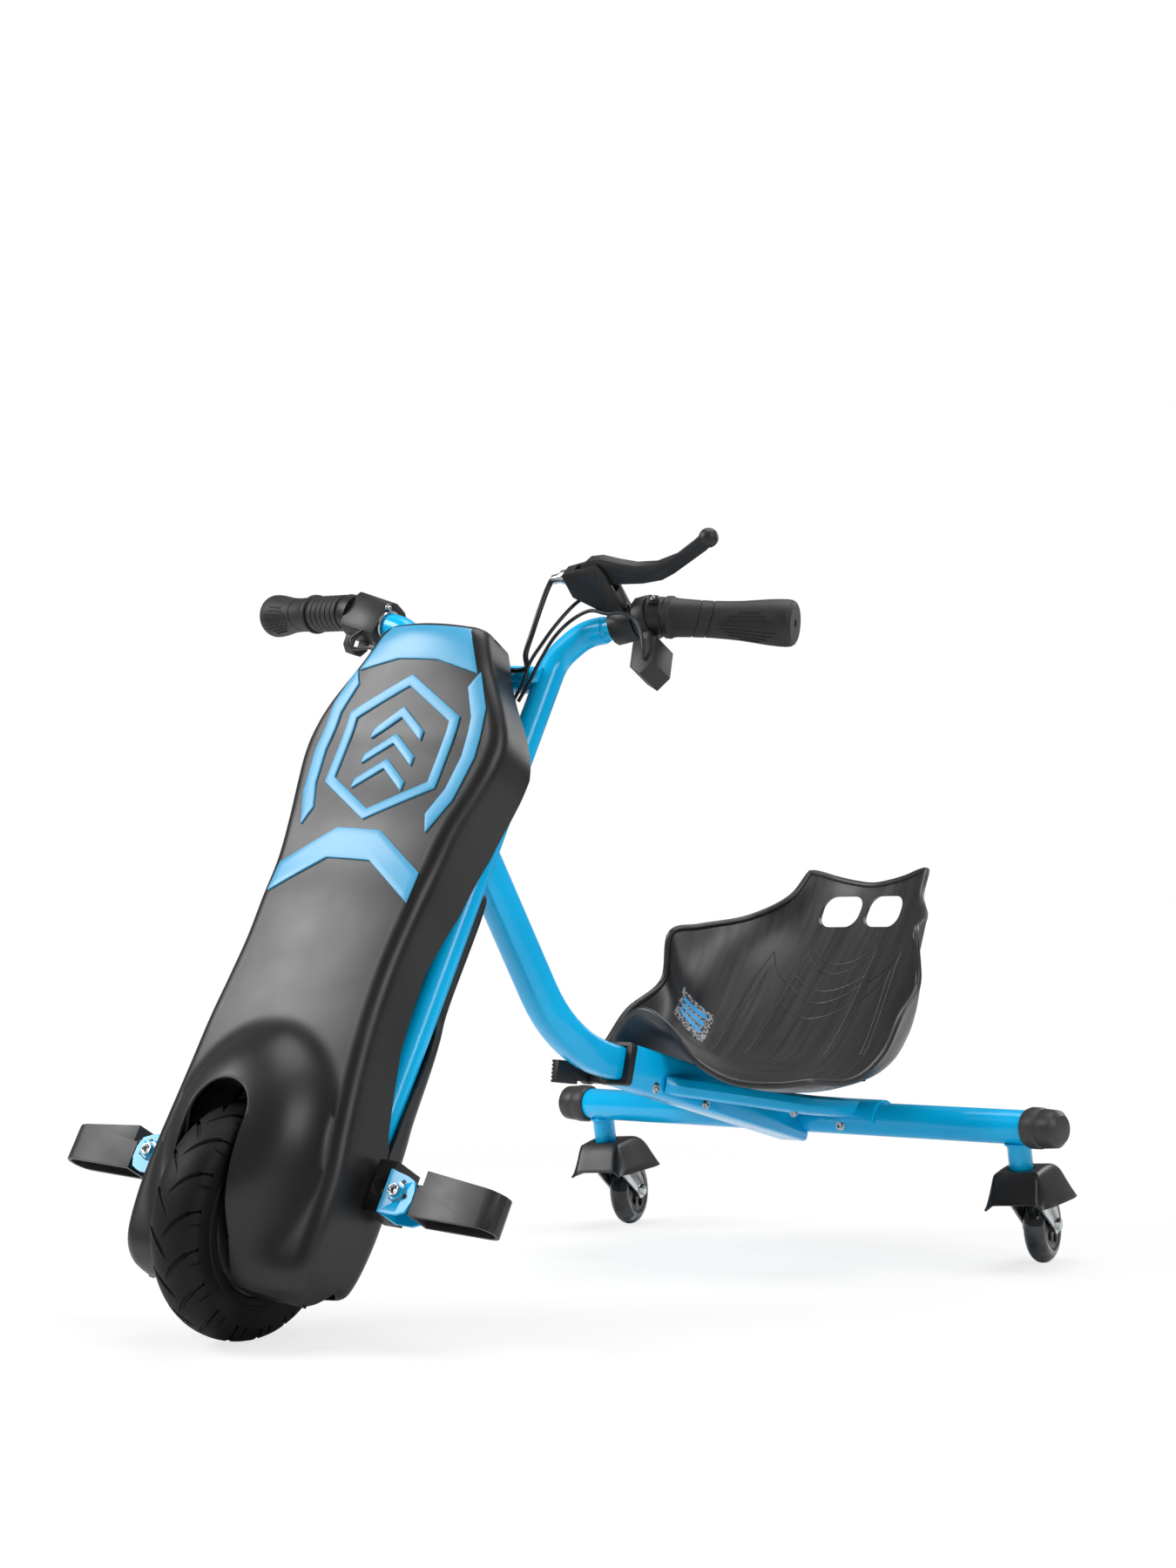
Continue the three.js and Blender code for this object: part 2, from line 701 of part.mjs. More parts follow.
const hub = { radius: 19, flange: 13, web: 10, bead: 4, holes: 6, hole: 8, holeAt: 40 };
const hubLeftShare = 0.425;
hub.left = tube.x * hubLeftShare;
hub.right = drive.x + drive.plate / 2 + runGap;
const rim = { radius: 62, well: 54, inset: 3 };
rim.width = wheel.width - 2 * rim.inset;
const tread = {
  shoulder: 92,
  crown: 21,
  bead: 60,
  blocks: 22,
  groove: 3.4,
  depth: 3,
  slant: 32 * degrees,
  length: 34,
};
const wheelSides = 36;
const shoulderTilt = 18 * degrees;
const crownSideShare = 0.9;

function frontTyre() {
  const half = wheel.width / 2;
  const inside = rim.radius + runGap;
  const profile = [
    [inside, -half + hub.bead],
    [tread.bead + hub.web, -half + hub.bead / 2],
    [tread.shoulder - hub.web / 2, -half],
    [tread.shoulder + hub.bead / 2, -tread.crown],
    [wheel.radius - hub.bead / 4, -tread.crown / 2],
    [wheel.radius, 0],
    [wheel.radius - hub.bead / 4, tread.crown / 2],
    [tread.shoulder + hub.bead / 2, tread.crown],
    [tread.shoulder - hub.web / 2, half],
    [tread.bead + hub.web, half - hub.bead / 2],
    [inside, half - hub.bead],
    [inside, -half + hub.bead],
  ];
  const grooves = Array.from({ length: tread.blocks }, (unused, i) => {
    const sign = i % 2 ? 1 : -1;
    const groove = box(tread.length, tread.groove, tread.depth * 4).rotateZ(sign * tread.slant);
    groove.rotateY(sign * shoulderTilt).translate(sign * tread.crown * crownSideShare, 0, wheel.radius);
    return groove.rotateX((2 * Math.PI * i) / tread.blocks);
  });
  return cut(turned(profile, wheelSides).rotateZ(-Math.PI / 2), ...grooves);
}

function frontRim() {
  const half = rim.width / 2;
  const profile = [
    [rim.well - hub.bead, -half],
    [rim.radius, -half],
    [rim.radius, half],
    [rim.well - hub.bead, half],
    [rim.well, half - hub.web],
    [rim.well, hub.web - half],
    [rim.well - hub.bead, -half],
  ];
  const ring = turned(profile, wheelSides).rotateZ(-Math.PI / 2);
  const web = rodX(rim.well + hub.bead / 2, hub.web, wheelSides);
  const barrel = rodX(
    hub.radius,
    hub.left - hub.right,
    roundSides,
  ).translate((hub.left + hub.right) / 2, 0, 0);
  const spigot = rodX(hub.flange - runGap, drive.plate).translate(
    hub.right - drive.plate / 2 - runGap,
    0,
    0,
  );
  const spigotRoot = rodX(hub.flange - 2 * runGap, drive.plate).translate(hub.right, 0, 0);
  const holes = Array.from({ length: hub.holes }, (unused, i) =>
    rodX(hub.hole, hub.web * 2).translate(0, hub.holeAt, 0).rotateX((2 * Math.PI * i) / hub.holes),
  );
  const bore = rodX(boreRadius(axle.radius), tube.x * 2);
  return cut(join(ring, web, barrel, spigot, spigotRoot), ...holes, bore);
}

function frontAxle() {
  const outer = tube.x + plate.thickness / 2 + runGap;
  const nuts = [1, -1].map((sign) =>
    rodX(axle.nut, axle.nutLength, 6).translate(sign * (outer + axle.nutLength / 2), 0, 0),
  );
  return join(rodX(axle.radius, 2 * (outer + axle.nutLength)), ...nuts);
}

const brake = {
  drum: 29,
  band: 2,
  gap: 0.8,
  bandWidth: 10,
  plate: 3,
  arm: { width: 4, length: 40, root: 7, tip: 4.5, pivotY: -16, pivotZ: 18, pin: 4 },
};
const drumLeftShare = 0.65;
const plateShare = 0.7;
const armShare = 0.7625;
brake.drumLeft = tube.x * drumLeftShare;
brake.bandX = tube.x * driveShare;
brake.plateX = tube.x * plateShare;
brake.arm.x = tube.x * armShare;

function brakeDrum() {
  const x = (hub.left + runGap + brake.drumLeft) / 2;
  const length = brake.drumLeft - hub.left - runGap;
  return ringX(axle.radius + runGap, brake.drum, length, roundSides).translate(x, 0, 0);
}

// The band round the drum, hung from a plate that is held by the axle and the fork tube.
function brakeBand() {
  const inner = brake.drum + brake.gap;
  const reach = inner + brake.band;
  const start = brake.bandX - brake.bandWidth / 2;
  const end = brake.plateX + brake.plate / 2;
  const band = ringX(inner, reach, end - start, roundSides).translate((start + end) / 2, 0, 0);
  const disc = rodX(reach, brake.plate, roundSides).translate(brake.plateX, 0, 0);
  const tubeY = tube.y + wheel.lead;
  const stay = box(brake.plate, tubeY, brake.arm.root).translate(brake.plateX, tubeY / 2, brake.drum);
  const foot = box(tube.x - tube.radius - runGap - brake.plateX, brake.plate, brake.arm.root);
  foot.translate(brake.plateX + foot.parameters.width / 2, tubeY, brake.drum);
  const bore = rodX(axle.radius + runGap, brake.plate * 2).translate(brake.plateX, 0, 0);
  const pivot = rodX(boreRadius(brake.arm.pin), brake.plate * 2);
  pivot.translate(brake.plateX, brake.arm.pivotY, brake.arm.pivotZ);
  return cut(join(band, disc, stay, foot), bore, pivot);
}

function brakeArm() {
  const { arm } = brake;
  const root = rodX(arm.root, arm.width);
  const tip = rodX(arm.tip, arm.width).translate(0, 0, arm.length);
  const blade = box(arm.width, arm.tip * 2, arm.length).translate(0, 0, arm.length / 2);
  const pinLength = arm.x - brake.plateX + brake.plate / 2 + arm.width / 2;
  const shaft = rodX(arm.pin, pinLength).translate(arm.width / 2 - pinLength / 2, 0, 0);
  return join(root, tip, blade, shaft);
}

// Foot pegs: clamp block over the seam, blue bracket and a folding wedge-shaped peg

const peg = {
  clampIn: 6.2,
  clampOut: 13,
  clampY: 3.5,
  clampDepth: 35,
  clampHeight: 46,
  z: 51,
  recess: 3,
  nearOut: 45,
  highOut: 50,
  stepZ: 53,
  farOut: 127,
  y: -5,
  depth: 30,
  low: 28,
  high: 68,
  tipHigh: 58,
  wall: 3.5,
  rib: 2.4,
  ribs: 3,
  bracket: { thickness: 3, depth: 30, up: 15, down: 19, out: 44, corner: 12, backUp: 19 },
  pivot: { out: 27, z: 46, radius: 4, head: 8, headLength: 4, root: 10 },
  hole: { radius: 2, at: 9.8, first: 70 * degrees, second: -17 * degrees },
};
peg.clampX = shroud.halfWidth - peg.clampIn;
peg.clampEnd = shroud.halfWidth + peg.clampOut;
peg.near = shroud.halfWidth + peg.nearOut;
peg.nearHigh = shroud.halfWidth + peg.highOut;
peg.far = shroud.halfWidth + peg.farOut;
peg.bracket.end = shroud.halfWidth + peg.bracket.out;
peg.pivot.x = shroud.halfWidth + peg.pivot.out;
const ribShare = 0.5;
const ribMiddleShare = 0.45;

function pegClamp({ sign }) {
  const length = peg.clampEnd - peg.clampX;
  const block = box(length, peg.clampDepth, peg.clampHeight);
  block.translate(peg.clampX + length / 2, peg.clampY, peg.z);
  const start = tube.x + tube.radius + runGap;
  const boss = rodX(seam.boss, peg.clampEnd - start).translate((start + peg.clampEnd) / 2, seam.y, seam.z);
  const bolt = rodY(peg.pivot.head, peg.clampDepth * 2).translate(
    peg.clampX + length / 2,
    -peg.clampDepth,
    peg.z,
  );
  const recess = shared(
    bolt,
    box(peg.far, peg.recess * 2, peg.far * 2).translate(0, peg.clampY - peg.clampDepth / 2, 0),
  );
  return onSide(cut(join(block, boss), recess), sign);
}

function pegBracket({ sign }) {
  const { bracket, pivot, hole } = peg;
  const start = peg.clampEnd + runGap;
  const back = box(bracket.thickness, bracket.depth, bracket.backUp + bracket.down);
  back.translate(start + bracket.thickness / 2, peg.y, pivot.z + (bracket.backUp - bracket.down) / 2);
  const rounded = (side, reach) =>
    Array.from({ length: cornerSteps }, (unused, i) => {
      const angle = side * (Math.PI / 2) * (1 - i / (cornerSteps - 1));
      return [
        bracket.end - bracket.corner + bracket.corner * Math.cos(angle),
        pivot.z + side * (reach - bracket.corner) + bracket.corner * Math.sin(angle),
      ];
    });
  const outline = [
    [start, pivot.z - bracket.down],
    ...rounded(-1, bracket.down),
    ...rounded(1, bracket.up).reverse(),
    [start, pivot.z + bracket.backUp],
  ];
  const cheeks = [1, -1].map((side) =>
    prismY(outline, bracket.thickness).translate(
      0,
      peg.y + (side * (bracket.depth - bracket.thickness)) / 2,
      0,
    ),
  );
  const holes = [hole.first, hole.second].map((angle) =>
    rodY(hole.radius, peg.depth * 2).translate(
      pivot.x + hole.at * Math.cos(angle),
      peg.y,
      pivot.z + hole.at * Math.sin(angle),
    ),
  );
  const bolt = rodY(pivot.radius, bracket.depth).translate(pivot.x, peg.y, pivot.z);
  const heads = [1, -1].map((side) =>
    rodY(pivot.head, pivot.headLength, 6).translate(
      pivot.x,
      peg.y + side * (bracket.depth / 2 + pivot.headLength / 2 - runGap),
      pivot.z,
    ),
  );
  return onSide(join(cut(join(back, ...cheeks), ...holes), bolt, ...heads), sign);
}

// The peg about its own pivot: a tapered cup, rounded at the tip and open below.
function footPeg({ sign }) {
  const { pivot, bracket } = peg;
  const radius = peg.depth / 2;
  const tip = (inset) => {
    const round = Array.from({ length: roundSides / 2 + 1 }, (unused, i) => {
      const angle = (2 * Math.PI * i) / roundSides - Math.PI / 2;
      return [peg.far - radius + (radius - inset) * Math.cos(angle), (radius - inset) * Math.sin(angle)];
    });
    return [[peg.near + inset, radius - inset], [peg.near + inset, inset - radius], ...round];
  };
  const slab = prismZ(tip(0), peg.high - peg.low).translate(0, 0, (peg.high + peg.low) / 2);
  const hollow = prismZ(tip(peg.wall), peg.high - peg.low).translate(0, 0, (peg.high + peg.low) / 2);
  const slope = (drop) => prismY(
    [
      [peg.near - overrun, peg.low - overrun],
      [peg.far + overrun, peg.low - overrun],
      [peg.far + overrun, peg.tipHigh - drop],
      [peg.nearHigh + drop, peg.high - drop],
      [peg.nearHigh + drop, peg.stepZ + runGap],
      [peg.near + drop, peg.stepZ],
      [peg.near - overrun, peg.stepZ],
    ],
    peg.depth * 2,
  );
  const cup = cut(shared(slab, slope(0)), shared(hollow, slope(peg.wall)));
  const step = (peg.far - peg.near) / (peg.ribs + 1);
  const ribs = Array.from({ length: peg.ribs }, (unused, i) =>
    box(peg.rib, peg.depth - peg.wall, (peg.high - peg.low) * ribShare).translate(
      peg.near + step * (i + 1),
      0,
      peg.low + (peg.high - peg.low) * ribMiddleShare,
    ),
  );
  const tongueDepth = bracket.depth - 2 * bracket.thickness - 2 * runGap;
  const tongue = rodY(pivot.root, tongueDepth, roundSides).translate(pivot.x, 0, pivot.z);
  const neckPiece = box(peg.near - pivot.x + peg.wall, tongueDepth, pivot.root * 2);
  neckPiece.translate((peg.near + pivot.x + peg.wall) / 2, 0, pivot.z);
  const bore = rodY(boreRadius(pivot.radius), peg.depth * 2).translate(pivot.x, 0, pivot.z);
  const whole = cut(join(cup, ...ribs, tongue, neckPiece), bore);
  return onSide(whole.translate(-pivot.x, 0, -pivot.z), sign);
}

// Grips and controls, each about a point of the bar with X along the bar

const grip = { start: 10.5, bore: 0.3, inner: 18.4, hole: 5, cap: 3.6 };
const gripProfileShares = [
  [0, 1],
  [0.05, 1.06],
  [0.09, 0.95],
  [0.35, 0.91],
  [0.6, 0.98],
  [0.8, 1.12],
  [0.93, 1.16],
  [0.98, 1.1],
  [1, 0.92],
];

function gripForm(start, length, boreEnd) {
  const bore = bar.radius + grip.bore;
  const outside = gripProfileShares.map(([along, out]) => [out * grip.inner, start + along * length]);
  return turned(
    [
      [bore, start],
      ...outside,
      [grip.hole, start + length],
      [grip.hole, boreEnd],
      [bore, boreEnd],
      [bore, start],
    ],
    roundSides,
  ).rotateZ(-Math.PI / 2);
}

const throttle = {
  sleeveStart: 6,
  sleeveLength: 50,
  sleeveRadius: 17.6,
  ribDepth: 1.2,
  ribs: 12,
  housingLength: 44,
};
throttle.housing = { width: 34, height: 44, corner: 9, hook: 16, hookWall: 3, hookZ: -28 };
const sleeveRibShare = 0.8;

function throttleSleeve() {
  const middle = throttle.sleeveStart + throttle.sleeveLength / 2;
  const body = ringX(bar.radius + runGap, throttle.sleeveRadius, throttle.sleeveLength, roundSides);
  const grooves = Array.from({ length: throttle.ribs }, (unused, i) =>
    box(throttle.sleeveLength * sleeveRibShare, throttle.ribDepth * 2, throttle.ribDepth * 2)
      .translate(0, 0, throttle.sleeveRadius)
      .rotateX((2 * Math.PI * i) / throttle.ribs),
  );
  return cut(body, ...grooves).translate(-middle, 0, 0);
}

const roundedOutline = (width, height, corner) => {
  const steps = 3;
  return [
    [1, 1],
    [-1, 1],
    [-1, -1],
    [1, -1],
  ].flatMap(([sx, sy], quarter) =>
    Array.from({ length: steps }, (unused, i) => {
      const angle = (Math.PI / 2) * (quarter + i / (steps - 1));
      return [
        sx * (width / 2 - corner) + corner * Math.cos(angle),
        sy * (height / 2 - corner) + corner * Math.sin(angle),
      ];
    }),
  );
};

function throttleHousing() {
  const { housing } = throttle;
  const outline = roundedOutline(housing.width, housing.height, housing.corner);
  const body = prismX(outline, throttle.housingLength).translate(0, housing.hookWall, 0);
  const hook = ringX(
    housing.hook - housing.hookWall * 2,
    housing.hook - housing.hookWall,
    housing.hookWall * 4,
    smallSides,
  );
  hook.translate(0, 0, housing.hookZ);
  const room = rodX(bar.radius + 3 * runGap, throttle.housingLength * 2, roundSides);
  return cut(join(body, hook), room);
}

// Brake perch: a clamp on the bar and an arm to the lever's pivot
const perch = {
  clampOuter: 17.5,
  clampLength: 24,
  x: -9,
  pivotX: -13,
  pivotY: -54,
  pivotZ: 24.8,
  tilt: -24 * degrees,
  droop: 6.4 * degrees,
  thickness: 16,
  fork: 9,
  room: 24,
  pin: 3.5,
  bolt: 4,
  adjuster: { radius: 4, nut: 6, length: 20, x: -32, y: -6, bore: 1.6 },
};
const leverRoomShare = 0.62;

const leverOutlineShares = [
  [-0.09, 0.06],
  [0, 0.1],
  [0.1, 0.09],
  [0.22, 0.03],
  [0.34, -0.02],
  [0.5, -0.045],
  [0.68, -0.02],
  [0.86, 0.05],
  [0.97, 0.1],
  [1.03, 0.08],
  [1.03, 0.02],
  [0.95, -0.02],
  [0.8, -0.075],
  [0.62, -0.14],
  [0.5, -0.17],
  [0.34, -0.165],
  [0.2, -0.14],
  [0.08, -0.12],
  [-0.02, -0.1],
  [-0.1, -0.04],
];
const lever = { length: 128, thickness: 8.4, ball: 8.5, ballX: 127, ballY: 7 };

// The lever's own frame has X along the bar and Y ahead of it.
function brakeLever() {
  const blade = prismZ(
    leverOutlineShares.map(([x, y]) => [x * lever.length, -y * lever.length]),
    lever.thickness,
  );
  const ball = new THREE.SphereGeometry(
    lever.ball,
    smallSides,
    smallSides / 2,
  ).translate(lever.ballX, -lever.ballY, 0);
  return cut(join(blade, ball), rodZ(boreRadius(perch.pin), lever.length));
}

function perchBody() {
  const ring = ringX(
    bar.radius + runGap,
    perch.clampOuter,
    perch.clampLength,
    roundSides,
  ).translate(perch.x, 0, 0);
  const { adjuster } = perch;
  const rootX = perch.x - perch.pivotX;
  const rootY = perch.clampOuter - perch.bolt / 2 - Math.hypot(perch.pivotY, perch.pivotZ);
  const inFrame = (geometry) =>
    geometry.rotateY(perch.droop).rotateX(perch.tilt).translate(perch.pivotX, perch.pivotY, perch.pivotZ);
  const arm = prismZ(
    [
      [rootX - perch.bolt * 2, rootY],
      [adjuster.x, adjuster.y * 3],
      [adjuster.x, -adjuster.y],
      [perch.bolt * 2, perch.bolt * 2],
      [perch.bolt * 3, -perch.bolt],
      [rootX + perch.bolt * 2, rootY],
    ].map(([x, y]) => [x, -y]),
    perch.thickness,
  );
  const leverRoom = prismZ(
    [
      [adjuster.x * leverRoomShare, -perch.room],
      [lever.length, -perch.room],
      [lever.length, perch.room],
      [adjuster.x * leverRoomShare, perch.room],
    ],
    perch.fork,
  );
  const shaft = rodZ(perch.pin, perch.thickness + perch.bolt);
  const barrel = rodX(adjuster.radius, adjuster.length).translate(
    adjuster.x - adjuster.length / 2 + adjuster.radius,
    0,
    0,
  );
  const nut = rodX(adjuster.nut, adjuster.radius, 6).translate(adjuster.x - adjuster.radius / 2, 0, 0);
  const cableBore = rodX(adjuster.bore, adjuster.length * 2).translate(adjuster.x - adjuster.length, 0, 0);
  const head = join(cut(join(arm, nut, barrel), leverRoom, cableBore), shaft);
  const bore = rodX(bar.radius + runGap, lever.length, roundSides);
  return cut(join(ring, inFrame(head)), bore);
}

const switchBox = {
  ringOuter: 21,
  ringLength: 12,
  x: 13,
  y: -12,
  width: 24,
  depth: 30,
  height: 34,
  hangX: 31,
  hangZ: -62,
  button: { radius: 6, length: 8, proud: 3 },
};
const switchChinShare = 0.3;
const armTopShare = 0.7;

function switchBody() {
  const { button } = switchBox;
  const ring = ringX(bar.radius + runGap, switchBox.ringOuter, switchBox.ringLength, roundSides);
  ring.translate(switchBox.x, 0, 0);
  const half = switchBox.width / 2;
  const caseOutline = [
    [-half, switchBox.height / 2],
    [-half, -switchBox.height * switchChinShare],
    [0, -switchBox.height / 2 - half * switchChinShare],
    [half, -switchBox.height * switchChinShare],
    [half, switchBox.height / 2],
  ];
  const body = prismY(caseOutline, switchBox.depth).translate(
    switchBox.hangX,
    switchBox.y,
    switchBox.hangZ,
  );
  const arm = prismY(
    [
      [switchBox.x - switchBox.ringLength / 2, -switchBox.ringOuter * armTopShare],
      [switchBox.x + switchBox.ringLength / 2, -switchBox.ringOuter * armTopShare],
      [switchBox.hangX + half / 2, switchBox.hangZ],
      [switchBox.hangX - half / 2, switchBox.hangZ],
    ],
    switchBox.ringLength,
  );
  const rear = switchBox.y + switchBox.depth / 2;
  const room = rodY(
    button.radius + runGap,
    button.length * 2,
    roundSides,
  ).translate(switchBox.hangX, rear, switchBox.hangZ);
  return cut(
    join(cut(join(arm, ring), rodX(bar.radius + 3 * runGap, lever.length, roundSides)), body),
    room,
  );
}

const switchButton = () => rodY(switchBox.button.radius, switchBox.button.length, roundSides);

// Cords, each along its real way and held at both ends, from the fork tube at the upper cross tube

const cord = { size: 100, cableRadius: 2.5, wireRadius: 1.7, sides: 8 };
const brakeCableShares = [
  [0.045, -0.468, 0.788],
  [0.035, -0.468, 0.7],
  [0.025, -0.455, 0.5],
  [0, -0.41, 0.27],
  [-0.05, -0.33, 0.08],
  [-0.11, -0.18, 0.02],
  [-0.19, -0.166, 0],
  [-0.28, -0.164, 0],
];
const perchWireShares = [
  [0.318, -0.24, 0.782],
  [0.22, -0.25, 0.67],
  [0.14, -0.3, 0.42],
  [0.07, -0.31, 0.2],
  [-0.01, -0.28, 0.02],
  [-0.08, -0.187, -0.13],
  [-0.135, -0.157, -0.3],
];
const switchWireShares = [
  [1.23, -0.332, 0.06],
  [1.2, -0.38, 0.2],
  [1.06, -0.38, 0.4],
  [0.85, -0.33, 0.53],
  [0.63, -0.27, 0.56],
  [0.38, -0.22, 0.62],
  [0.21, -0.2, 0.53],
  [0.12, -0.23, 0.34],
  [0.05, -0.22, 0.12],
  [-0.04, -0.15, -0.08],
  [-0.11, -0.12, -0.3],
];
const throttleWireShares = [
  [-0.638, -0.138, 0.42],
  [-0.62, -0.26, 0.24],
  [-0.5, -0.3, 0.12],
  [-0.25, -0.34, 0.1],
  [0, -0.32, -0.04],
  [0.18, -0.26, -0.4],
];

function cordForm(pointShares, radius, steps, sign) {
  const curve = new THREE.CatmullRomCurve3(
    pointShares.map(([x, y, up]) => new THREE.Vector3(x, y, up).multiplyScalar(cord.size)),
    false,
    "centripetal",
  );
  const form = new THREE.ExtrudeGeometry(
    shapeOf(circle(radius, cord.sides)),
    { steps, extrudePath: curve },
  );
  return form.translate(sign * tube.x, 0, crown.highZ);
}

// Neck: head tube and the bent beam that slides in the rail

const bearing = { flange: 5, radius: 21, insert: 9, bore: 0.3 };
const glide = { length: 12, gap: 0.3 };

// Places a form made about the steering axis into the trike's own frame.
const fromHead = (geometry) => geometry.rotateX(-head.rake).translate(0, head.y, head.z);

const along = (slope, distance) => [0, Math.cos(slope) * distance, -Math.sin(slope) * distance];
const plus = (a, b) => a.map((value, i) => value + b[i]);

function neckPath() {
  const join = head.low + neck.joinAbove;
  const top = [0, head.y + join * Math.sin(head.rake), head.z + join * Math.cos(head.rake)];
  const mouth = [0, rail.mouthY, rail.mouthZ];
  return [top, plus(mouth, along(rail.slope, -neck.ahead)), plus(mouth, along(rail.slope, neck.inserted))];
}

const neckSteps = 9;

function neckBeam() {
  const stations = bent(neckPath(), neck.bendRadius, neckSteps);
  const corner = neck.wall * 2.5;
  const beam = sweep(roundedOutline(neck.width, neck.height, corner), stations);
  const cavity = sweep(
    roundedOutline(neck.width - 2 * neck.wall, neck.height - 2 * neck.wall, corner - neck.wall),
    stations,
  );
  const end = stations[stations.length - 1];
  const pad = prismY(railInside(2 * glide.gap), glide.length);
  pad.rotateX(-rail.slope).translate(0, end.y, end.z).translate(...along(rail.slope, -glide.length / 2));
  const tubeForm = fromHead(
    rodZ(head.radius, head.length, roundSides).translate(0, 0, head.low + head.length / 2),
  );
  const bore = fromHead(
    rodZ(head.bore, head.length * 2, roundSides).translate(0, 0, head.low + head.length / 2),
  );
  return cut(join(beam, pad, tubeForm), cavity, bore);
}

// The rail's inner outline, made smaller by a clearance.
const railInside = (clearance) =>
  roundedOutline(
    rail.width - 2 * rail.wall - clearance,
    rail.height - 2 * rail.wall - clearance,
    rail.corner - rail.wall / 2,
  );

function headBearing(base, up) {
  const flange = ringZ(head.pin + bearing.bore, bearing.radius, bearing.flange, roundSides);
  const insert = ringZ(
    head.pin + bearing.bore,
    head.bore - runGap,
    bearing.insert + bearing.flange,
    roundSides,
  );
  flange.translate(0, 0, up * (bearing.flange / 2 + runGap));
  insert.translate(0, 0, up * ((bearing.flange - bearing.insert) / 2 + runGap));
  return join(flange, insert).translate(0, 0, base);
}

// Rear frame: box rail, axle tube with raked stubs, side braces

const fromRail = (geometry) => geometry.rotateX(-rail.slope).translate(0, rail.mouthY, rail.mouthZ);
rail.length = (axleTube.y - rail.mouthY) / Math.cos(rail.slope);
rail.corner = 4;

function axleRoom(grow, length) {
  return rodX(axleTube.radius + grow, length, roundSides * 2).translate(0, axleTube.y, axleTube.z);
}

function boxRail() {
  const place = (geometry) => fromRail(geometry.translate(0, rail.length / 2, 0));
  const body = place(prismY(roundedOutline(rail.width, rail.height, rail.corner), rail.length));
  const cavity = place(prismY(railInside(0), rail.length + overrun));
  const holes = [carrier.frontBolt, carrier.rearBolt].map((distance) =>
    fromRail(rodZ(carrier.bolt + runGap, rail.height).translate(0, distance, rail.height / 2)),
  );
  return cut(body, cavity, axleRoom(runGap, rail.width * 2), ...holes);
}

const stub = { low: 97, bore: 5.6, boreDepth: 24, y: 754, z: 121, collar: 15, collarLength: 5 };

function axleBar() {
  const body = rodX(
    axleTube.radius,
    2 * axleTube.halfLength,
    roundSides * 2,
  ).translate(0, axleTube.y, axleTube.z);
  const stubs = sides.map(({ sign }) => {
    const length = axleTube.z - stub.low;
    const post = rodZ(caster.stub, length, roundSides).translate(
      0,
      0,
      length / 2 - (stub.z - stub.low) / Math.cos(caster.lean),
    );
    return post.rotateX(caster.lean).translate(sign * caster.x, stub.y, stub.z);
  });
  const bores = sides.map(({ sign }) => {
    const start = (stub.z - stub.low) / Math.cos(caster.lean);
    const bore = rodZ(stub.bore, stub.boreDepth + overrun).translate(
      0,
      0,
      (stub.boreDepth - overrun) / 2 - start,
    );
    return bore.rotateX(caster.lean).translate(sign * caster.x, stub.y, stub.z);
  });
  return cut(join(body, ...stubs), ...bores);
}

const cap = { radius: 20.5, length: 39, cover: 29, edge: 5, groove: 2 };
const capGrooveShare = 0.45;

function axleCap({ sign }) {
  const profile = [
    [axleTube.radius + runGap, 0],
    [cap.radius - cap.groove, 0],
    [cap.radius, cap.edge],
    [cap.radius, cap.length * capGrooveShare - cap.groove],
    [cap.radius - cap.groove, cap.length * capGrooveShare],
    [cap.radius - cap.groove / 2, cap.length * capGrooveShare + cap.groove],
    [cap.radius - cap.groove, cap.length - cap.edge],
    [cap.radius - cap.edge - cap.groove, cap.length],
    [0, cap.length],
    [0, cap.cover + runGap],
    [axleTube.radius + runGap, cap.cover + runGap],
    [axleTube.radius + runGap, 0],
  ];
  const form = turned(profile, roundSides * 2).rotateZ(-Math.PI / 2);
  form.translate(axleTube.halfLength - cap.cover, axleTube.y, axleTube.z);
  return onSide(fromSolid(toSolid(form)), sign);
}

const brace = {
  radius: 10,
  startX: 16,
  startY: 522,
  startZ: 186,
  midX: 60,
  midY: 600,
  midZ: 171,
  lowX: 76,
  lowY: 670,
  lowZ: 159,
  endX: 86,
  endZ: 150,
  saddle: { inner: 56, outer: 116, wall: 3 },
};
const braceSteps = 12;

function sideBrace({ sign }) {
  const points = [
    [brace.startX, brace.startY, brace.startZ],
    [brace.midX, brace.midY, brace.midZ],
    [brace.lowX, brace.lowY, brace.lowZ],
    [brace.endX, axleTube.y, brace.endZ],
  ];
  const curve = new THREE.CatmullRomCurve3(
    points.map((point) => new THREE.Vector3(...point)),
    false,
    "centripetal",
  );
  const tubeForm = new THREE.ExtrudeGeometry(shapeOf(circle(brace.radius, smallSides)), {
    steps: braceSteps,
    extrudePath: curve,
  });
  const { saddle } = brace;
  const saddleLength = saddle.outer - saddle.inner;
  const plateForm = rodX(axleTube.radius + runGap + saddle.wall, saddleLength, roundSides * 2);
  plateForm.translate((saddle.inner + saddle.outer) / 2, axleTube.y, axleTube.z);
  const below = box(saddleLength * 2, saddle.outer, saddle.outer);
  below.translate(saddle.outer, axleTube.y, axleTube.z - saddle.outer / 2 - saddle.wall);
  const railSide = prismY(rectangle(rail.width + 2 * runGap, rail.height * 2), rail.length * 2);
  const whole = cut(
    join(tubeForm, cut(plateForm, below)),
    fromRail(railSide),
    axleRoom(runGap, saddle.outer * 4),
  );
  return onSide(largest(whole), sign);
}

// Keeps the one body that holds most of the material.
function largest(geometry) {
  const bodies = toSolid(geometry).decompose();
  return fromSolid(bodies.reduce((most, body) => (body.volume() > most.volume() ? body : most)));
}

// Collar at the rail's mouth with the clamp screw's stud, and the quick-release lever on it

